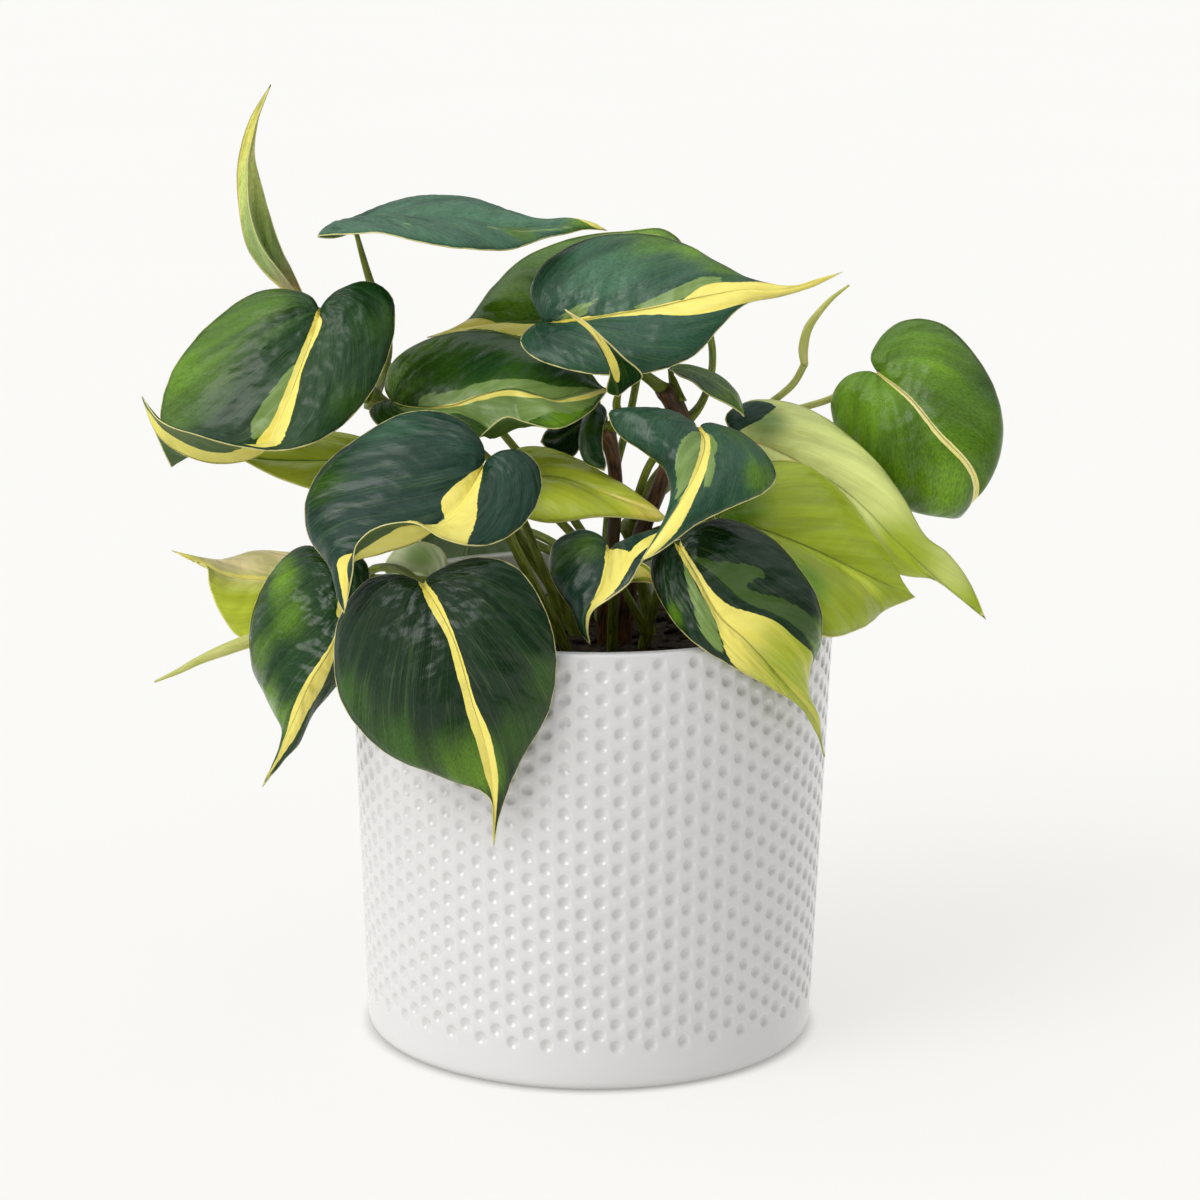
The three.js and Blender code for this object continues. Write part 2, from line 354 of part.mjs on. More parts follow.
// Rolled young leaves stand on the ends of their stalks.
const SPEARS = [
  { name: 'spear_left', vine: 'stem_trailing',
    path: [[-91, -12, 108.5, 1.9], [-97.5, -12, 106, 1.7], [-104.5, -12, 103, 1.2],
      [-110, -12, 100, 0.8], [-116.5, -12, 97, 0.3]] },
  { name: 'spear_right', vine: 'stem_right',
    path: [[57, 26, 182, 1.4], [58, 25, 187.5, 1.3], [60.5, 23, 192, 1], [64, 21, 196.5, 0.7],
      [68.5, 19, 200.5, 0.3]] },
];

// A seeded random number from 0 to 1, the same on every run.
function seededRandom(seed) {
  let state = seed;
  return () => {
    state = (state * 1664525 + 1013904223) % 4294967296;
    return state / 4294967296;
  };
}

// A smooth curve through control points, which also carries their fourth values along.
class Track {
  constructor(points, missing = 0) {
    const corners = points.map(([x, y, z]) => new THREE.Vector3(x, y, z));
    this.curve = new THREE.CatmullRomCurve3(corners, false, 'centripetal');
    this.curve.arcLengthDivisions = 400;
    this.values = points.map((point) => point[3] ?? missing);
  }

  pointAt(u) {
    return this.curve.getPointAt(u);
  }

  tangentAt(u) {
    return this.curve.getTangentAt(u);
  }

  valueAt(u) {
    const place = this.curve.getUtoTmapping(u) * (this.values.length - 1);
    const index = Math.min(Math.floor(place), this.values.length - 2);
    return THREE.MathUtils.lerp(this.values[index], this.values[index + 1], place - index);
  }
}

function geometryFrom(points, triangles) {
  const geometry = new THREE.BufferGeometry().setFromPoints(points);
  geometry.setIndex(triangles.flat());
  return geometry;
}

function solidFrom(geometry) {
  const vertProperties = Float32Array.from(geometry.attributes.position.array);
  const triVerts = Uint32Array.from(geometry.index.array);
  return new wasm.Manifold(new wasm.Mesh({ numProp: 3, vertProperties, triVerts }));
}

function geometryOf(solid) {
  const mesh = solid.getMesh();
  const geometry = new THREE.BufferGeometry();
  const positions = new Float32Array(mesh.numVert * 3);
  for (let i = 0; i < mesh.numVert; i += 1) {
    positions.set(mesh.vertProperties.slice(i * mesh.numProp, i * mesh.numProp + 3), i * 3);
  }
  geometry.setAttribute('position', new THREE.BufferAttribute(positions, 3));
  geometry.setIndex(Array.from(mesh.triVerts));
  return geometry;
}

// A closed body of revolution from rings of equal count, listed from the bottom pole to the top
// pole. Every ring gives its radius, its height and its turn in parts of a column.
function ringBody(rings, columns, bottomHeight, topHeight, radiusAt = (ring) => ring.radius) {
  const points = [new THREE.Vector3(0, 0, bottomHeight)];
  rings.forEach((ring, row) => {
    for (let column = 0; column < columns; column += 1) {
      const angle = ((column + (ring.turn ?? 0)) / columns) * Math.PI * 2;
      const radius = radiusAt(ring, row, column);
      const height = ring.height + (ring.bumps ? ring.bumps[column] : 0);
      points.push(new THREE.Vector3(radius * Math.cos(angle), radius * Math.sin(angle), height));
    }
  });
  const top = points.push(new THREE.Vector3(0, 0, topHeight)) - 1;
  const at = (row, column) => 1 + row * columns + (column % columns);
  const triangles = [];
  for (let column = 0; column < columns; column += 1) {
    triangles.push([0, at(0, column + 1), at(0, column)]);
    triangles.push([top, at(rings.length - 1, column), at(rings.length - 1, column + 1)]);
    for (let row = 0; row + 1 < rings.length; row += 1) {
      const leansBack = (rings[row].turn ?? 0) < (rings[row + 1].turn ?? 0);
      const [a, b] = [at(row, column), at(row, column + 1)];
      const [c, d] = [at(row + 1, column), at(row + 1, column + 1)];
      triangles.push(leansBack ? [a, b, c] : [a, b, d], leansBack ? [b, d, c] : [a, d, c]);
    }
  }
  return geometryFrom(points, triangles);
}

// The wall's outer radius at a height.
function potRadius(height) {
  return THREE.MathUtils.lerp(POT.footRadius, POT.rimRadius, height / POT.height);
}

// A quarter round of a profile, from one angle to another, around a centre.
function roundCorner(radius, height, corner, from, to, steps) {
  return Array.from({ length: steps + 1 }, (_, step) => {
    const angle = THREE.MathUtils.degToRad(THREE.MathUtils.lerp(from, to, step / steps));
    return { radius: radius + corner * Math.cos(angle), height: height + corner * Math.sin(angle) };
  });
}

// The pot: a rounded foot, a wall covered in pressed dimples, a rounded lip and a plain inside.
// The wall's vertices form a triangular lattice in which every third vertex is pressed in.
function potGeometry() {
  const { height, wall, lip, footCorner, columns, pitRows } = POT;
  const foot = roundCorner(potRadius(0) - footCorner, footCorner, footCorner, -90, 0, 3);
  const first = POT.plainFoot;
  const last = height - POT.plainRim;
  const wallRings = Array.from({ length: pitRows + 2 }, (_, row) => {
    const ringHeight = THREE.MathUtils.lerp(first, last, row / (pitRows + 1));
    const pressed = row > 0 && row <= pitRows;
    return { radius: potRadius(ringHeight), height: ringHeight, turn: (row % 2) / 2, pressed };
  });
  const outerLip = roundCorner(potRadius(height - lip) - lip, height - lip, lip, 0, 90, 2);
  const innerLip = roundCorner(potRadius(height) - wall + lip, height - lip, lip, 90, 180, 2);
  const innerFloor = { radius: potRadius(POT.floor) - wall, height: POT.floor };
  const rings = [...foot, ...wallRings, ...outerLip, ...innerLip, innerFloor];
  const radiusAt = (ring, row, column) => {
    const pit = ring.pressed && column % 3 === ring.turn * 2;
    return pit ? ring.radius - POT.pitDepth : ring.radius;
  };
  return ringBody(rings, columns, 0, POT.floor, radiusAt);
}

// The soil: a plug that fills the pot, with an uneven top.
function soilSolid() {
  const random = seededRandom(SOIL.seed);
  const radiusIn = (height) => potRadius(height) - POT.wall - SOIL.clearance;
  const bottom = POT.floor + PLAY;
  const topRings = Array.from({ length: SOIL.rings }, (_, ring) => {
    const edge = ring === 0;
    const bumps = Array.from({ length: SOIL.columns }, () => (random() * 2 - 1) * SOIL.roughness);
    const radius = radiusIn(SOIL.top) * (1 - ring / SOIL.rings);
    return edge ? { radius, height: SOIL.top - SOIL.edgeDrop } : { radius, height: SOIL.top, bumps };
  });
  const rings = [{ radius: radiusIn(bottom), height: bottom }, ...topRings];
  return solidFrom(ringBody(rings, SOIL.columns, bottom, SOIL.top));
}

// A closed tube along a track, which widens and narrows with the track's values.
function tubeGeometry(points, extraRadius = 0) {
  const track = new Track(points);
  const steps = Math.max(2, Math.ceil(track.curve.getLength() / STEM.stepLength));
  const frames = track.curve.computeFrenetFrames(steps, false);
  const vertices = [];
  for (let step = 0; step <= steps; step += 1) {
    const u = step / steps;
    const centre = track.pointAt(u);
    const radius = track.valueAt(u) + extraRadius;
    for (let side = 0; side < STEM.sides; side += 1) {
      const angle = (side / STEM.sides) * Math.PI * 2;
      const out = frames.normals[step].clone().multiplyScalar(Math.cos(angle));
      out.addScaledVector(frames.binormals[step], Math.sin(angle));
      vertices.push(centre.clone().addScaledVector(out, radius));
    }
  }
  const start = vertices.push(track.pointAt(0)) - 1;
  const end = vertices.push(track.pointAt(1)) - 1;
  const at = (step, side) => step * STEM.sides + (side % STEM.sides);
  const triangles = [];
  for (let side = 0; side < STEM.sides; side += 1) {
    triangles.push([start, at(0, side + 1), at(0, side)]);
    triangles.push([end, at(steps, side), at(steps, side + 1)]);
    for (let step = 0; step < steps; step += 1) {
      const [a, b] = [at(step, side), at(step, side + 1)];
      const [c, d] = [at(step + 1, side), at(step + 1, side + 1)];
      triangles.push([a, b, d], [a, d, c]);
    }
  }
  return geometryFrom(vertices, triangles);
}

// The middle surface of a blade: rows of points from the midrib out to each margin.
class BladeSurface {
  constructor(leaf) {
    this.rib = new Track(leaf.rib);
    const [base, tip] = [leaf.rib[0], leaf.rib[leaf.rib.length - 1]];
    const margin = (points) => new Track([[...base, 0], ...points, [...tip, 0]], leaf.arch);
    this.margins = { left: margin(leaf.left), right: margin(leaf.right) };
  }

  // The upper normal of one half at a row, from the rib's tangent and the direction to the margin.
  rowAt(side, along) {
    const foot = along ** BLADE.ribPull;
    const root = this.rib.pointAt(foot);
    const out = this.margins[side].pointAt(along).sub(root);
    const normal = new THREE.Vector3().crossVectors(this.rib.tangentAt(foot), out).normalize();
    normal.multiplyScalar(side === 'right' ? -1 : 1);
    const share = Math.min(1, out.length() / BLADE.fullArchWidth);
    return { root, out, normal, arch: this.margins[side].valueAt(along) * share };
  }

  pointAt(side, along, across) {
    const row = this.rowAt(side, along);
    const lift = row.arch * 4 * across * (1 - across);
    return row.root.addScaledVector(row.out, across).addScaledVector(row.normal, lift);
  }

  // Where a stalk's tip sits: under the blade's base, a little way in along the midrib.
  seat() {
    const lobes = ['left', 'right'].map((side) => this.rowAt(side, BLADE.seatRow).normal);
    const normal = lobes[0].add(lobes[1]).normalize();
    const inset = STEM.tipInset / this.rib.curve.getLength();
    return this.rib.pointAt(inset).addScaledVector(normal, -STEM.tipBehindBlade);
  }
}

// A blade is its middle surface made thick, with both faces split into triangles alike. Where a half
// is narrower than the full arch width, its arch is lower in proportion.
function bladeGeometry(leaf) {
  const fine = FINE_BLADES.includes(leaf.name);
  const rows = fine ? BLADE.fineRows : BLADE.rows;
  const columns = fine ? BLADE.fineColumns : BLADE.columns;
  const surface = new BladeSurface(leaf);
  const middle = [];
  const add = (point) => middle.push(point) - 1;
  const base = add(surface.rib.pointAt(0));
  const tip = add(surface.rib.pointAt(1));
  const ribIds = Array.from({ length: rows + 1 }, (_, row) => {
    const foot = (row / rows) ** BLADE.ribPull;
    return row === 0 ? base : row === rows ? tip : add(surface.rib.pointAt(foot));
  });
  const halfIds = (side) => ribIds.map((ribId, row) => Array.from({ length: columns + 1 }, (_, column) => {
    const onRib = column === 0 || row === 0 || row === rows;
    return onRib ? ribId : add(surface.pointAt(side, row / rows, column / columns));
  }));
  const halves = { left: halfIds('left'), right: halfIds('right') };
  const upper = [];
  for (const [side, ids] of Object.entries(halves)) {
    for (let row = 0; row < rows; row += 1) {
      for (let column = 0; column < columns; column += 1) {
        const quad = [ids[row][column], ids[row][column + 1], ids[row + 1][column + 1], ids[row + 1][column]];
        upper.push(...splitQuad(side === 'right' ? quad : quad.reverse(), middle));
      }
    }
  }
  const outline = [
    ...halves.right.map((ids) => ids[columns]),
    ...halves.left.map((ids) => ids[columns]).slice(1, -1).reverse(),
  ];
  return thicken(middle, upper, outline, BLADE.thickness);
}

// The triangles of a quad, cut along its shorter diagonal, without those that have no area.
function splitQuad([a, b, c, d], points) {
  const shorter = points[a].distanceTo(points[c]) <= points[b].distanceTo(points[d]);
  const pair = shorter || a === d || b === c ? [[a, b, c], [a, c, d]] : [[a, b, d], [b, c, d]];
  return pair.filter((ids) => new Set(ids).size === 3);
}

// Offsets an open surface to both sides and closes it along its outline.
function thicken(middle, upper, outline, thickness) {
  const sheet = geometryFrom(middle, upper);
  sheet.computeVertexNormals();
  const normals = middle.map((_, id) => new THREE.Vector3().fromBufferAttribute(sheet.attributes.normal, id));
  const face = (offset) => middle.map((point, id) => point.clone().addScaledVector(normals[id], offset));
  const points = [...face(thickness / 2), ...face(-thickness / 2)];
  const under = middle.length;
  const lower = upper.map(([a, b, c]) => [a + under, c + under, b + under]);
  const rim = outline.flatMap((a, index) => {
    const b = outline[(index + 1) % outline.length];
    return [[a + under, b + under, b], [a + under, b, a]];
  });
  return geometryFrom(points, [...upper, ...lower, ...rim]);
}

// The point where a stem starts in the soil, straight below its first point.
function rootOf(stem, depth) {
  const [first, second] = stem.slice(0, 2).map(([x, y, z]) => new THREE.Vector3(x, y, z));
  const down = first.clone().sub(second);
  down.multiplyScalar((first.z - depth) / -down.z);
  return [...first.add(down), stem[0][3]];
}

const leafByName = new Map(LEAVES.map((leaf) => [leaf.name, leaf]));

// A stalk's points, with its tip under the blade that it carries.
function stalkPath(points, leafName) {
  if (!leafName) {
    return points;
  }
  return [...points, [...new BladeSurface(leafByName.get(leafName)).seat(), STEM.tipRadius]];
}

function stemPath(vine, depth) {
  return stalkPath([rootOf(vine.stem, depth), ...vine.stem], vine.leaf);
}

function vineGeometry(vine) {
  const tubes = [stemPath(vine, STEM.rootDepth)];
  for (const stalk of vine.stalks ?? []) {
    tubes.push(stalkPath(stalk.path, stalk.leaf));
  }
  const solids = tubes.map((path) => solidFrom(tubeGeometry(path)));
  return geometryOf(solids.reduce((whole, solid) => whole.add(solid)));
}

// The end of a vine that carries a rolled leaf: its stalk with no leaf, or else its stem.
function freeEnd(vine) {
  const bare = (vine.stalks ?? []).find((stalk) => !stalk.leaf);
  const track = new Track(bare ? bare.path : vine.stem);
  return track.pointAt(1).addScaledVector(track.tangentAt(1), STEM.spearGap);
}

function spearGeometry(spear) {
  const start = freeEnd(VINES.find((vine) => vine.name === spear.vine));
  return tubeGeometry([[...start, spear.path[0][3]], ...spear.path]);
}

function piece(name, geometry, material) {
  const mesh = new THREE.Mesh(geometry, material);
  mesh.name = name;
  return mesh;
}

const plant = new THREE.Group();
plant.name = 'potted_philodendron';
plant.add(piece('pot', potGeometry(), MATERIALS.glaze));

// The soil has a plain hole for every stem, a little wider and deeper than the stem.
const holes = VINES.map((vine) => solidFrom(tubeGeometry(stemPath(vine, STEM.rootDepth - PLAY), PLAY)));
const soil = holes.reduce((whole, hole) => whole.subtract(hole), soilSolid());
plant.add(piece('soil', geometryOf(soil), MATERIALS.soil));

for (const vine of VINES) {
  plant.add(piece(vine.name, vineGeometry(vine), vine.woody ? MATERIALS.brownStem : MATERIALS.greenStem));
}
for (const spear of SPEARS) {
  plant.add(piece(spear.name, spearGeometry(spear), MATERIALS.limeBlade));
}
for (const leaf of LEAVES) {
  plant.add(piece(leaf.name, bladeGeometry(leaf), leaf.lime ? MATERIALS.limeBlade : MATERIALS.blade));
}

export default plant;
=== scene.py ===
"""Looks for a potted brasil philodendron. Tables are in millimetres, and Blender objects in metres."""

import math
import random

import bmesh
import bpy
import numpy as np
from mathutils import Matrix, Vector, noise


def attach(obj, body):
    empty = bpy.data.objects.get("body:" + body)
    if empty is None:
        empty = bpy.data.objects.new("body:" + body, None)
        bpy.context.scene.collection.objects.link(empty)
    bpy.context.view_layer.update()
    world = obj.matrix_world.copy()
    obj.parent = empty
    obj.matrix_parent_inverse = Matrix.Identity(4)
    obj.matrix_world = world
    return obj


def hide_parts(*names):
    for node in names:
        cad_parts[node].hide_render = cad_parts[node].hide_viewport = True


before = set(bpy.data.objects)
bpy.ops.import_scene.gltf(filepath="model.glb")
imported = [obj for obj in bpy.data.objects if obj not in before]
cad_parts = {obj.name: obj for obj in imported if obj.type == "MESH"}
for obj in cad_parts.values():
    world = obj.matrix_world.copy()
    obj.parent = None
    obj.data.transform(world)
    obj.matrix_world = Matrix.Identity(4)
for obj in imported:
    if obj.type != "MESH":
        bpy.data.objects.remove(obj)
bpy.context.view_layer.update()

MM = 0.001
TURN = 2 * math.pi

# The camera stands where the photograph was taken from, in metres and radians
CAMERA = {"place": (-0.0010, -0.9647, 0.3354), "pitch": 0.2221, "yaw": 0.0033, "roll": 0.0078,
          "lens": 110.4, "sensor": 36}

# Light: a soft sun from the upper left in front, in surroundings that are brightest overhead. A glow
# is a direction, how far it spreads as the cosine where it ends, and its strength.
LIGHT = {"key": 1.35, "softness": 38, "from": (-0.62, -0.5, 0.62), "key_tint": (1.0, 0.99, 0.97),
         "over": 0.8, "side": 0.14, "horizon": 0.3, "tint": (0.94, 0.97, 1.0, 1.0),
         "glows": [((-0.8, -0.1, 0.6), 0.1, 0.45), ((0.85, 0.5, 0.2), 0.6, 0.2)]}
# The floor's reach is in metres. Its glow falls between "bright_from" and "dark_to", in millimetres from
# the middle, which paints a shadow at the pot's foot.
FLOOR = {"reach": 14, "parts": 28, "glow": 0.66, "under": 0.3, "dark_to": 58, "bright_from": 63.5}

# The pot: the same driving dimensions as the solid, and its pressed dimples
POT = {"height": 118, "rim": 65, "foot": 60.5, "wall": 4, "floor": 5, "lip": 0.9, "corner": 3, "cove": 3,
       "band": (7, 4.5), "inside": (112, 106, 100, 60, 12)}
DIMPLES = {"columns": 84, "rows": 18, "top": 115.1, "pitch": 6.03, "radius": 1.85, "depth": 0.92,
           "turn": 1.16, "segments": 12, "rings": (0.45, 0.75, 0.94, 1.05)}
# The foot ring, by radii inside the foot's own and heights
FOOT_RING = {"inner": (9, 0.6), "outer": (7.5, 0), "middle": 20}

# The soil's surface and the bits of bark on it. A swell is its size, the layer of noise that it is read
# from, and its height.
SOIL = {"top": 107, "crown": 1, "edge_drop": 1, "edge_rough": 0.3, "clearance": 0.4, "low": 90,
        "taper": 0.985, "rings": 56, "columns": 150, "swells": [(9, 1, 1.3), (3, 5, 0.8), (1.3, 9, 0.45)]}
BARK = {"bits": 420, "margin": 3.5, "sizes": (0.7, 0.9, 1.2, 1.6, 2.3), "width": (0.5, 0.9),
        "height": (0.25, 0.6), "tilt": 0.6, "lift": 0.12, "rough": 0.35, "grain": 1.7}

# Leaf blades: the mesh, the form that the solid has too, the thickness, and the run of the veins
BLADE = {"rows": 64, "columns": 22, "spacing": 0.35, "samples": 240, "rib_pull": 1.6, "arch": 3,
         "full_arch": 18, "half": 0.28, "thin": 0.4, "thin_rim": 1.2, "groove": 0.26, "keel": 0.55,
         "groove_fade": 0.7, "arcing": 2.5, "vein_scale": 0.8, "halves_apart": 200, "leaves_apart": 13.7}
# Their relief: ridges between the veins, slow waves and small ripples at the rim, and how far each
# keeps away from the rim, the midrib, the base and the tip
RELIEF = {"ridge": 0.16, "gap": 7, "bend": 0.3, "flat_rim": 6, "flat_rib": (0.5, 4), "wave": 0.6,
          "wave_size": 16, "wave_rib": 6, "ripple": 0.2, "ripple_size": 5, "ripple_rim": 4,
          "ends": (0.06, 0.93)}

# Stems, with a knot and a wider swelling at each stalk, and each stalk widened where it clasps the stem
STEM = {"sides": 14, "step": 1.4, "root": 93, "tip_radius": 0.65, "behind": 1.4, "tip": 0.35, "inset": 1,
        "seat_row": 0.15, "knot": 0.22, "knot_reach": 1.6, "swelling": 0.1, "swelling_reach": 5,
        "clasp": 0.45, "clasp_reach": 3.5, "uneven": 0.05, "uneven_size": 4, "vines_apart": 50,
        "stalks_apart": 17}
SPEAR = {"sides": 20, "step": 0.8, "sunk": 0.3, "narrowed": 0.8, "full": 1.02, "oval": 0.05, "turns": 5,
         "seam": 0.16, "seam_width": 0.5}

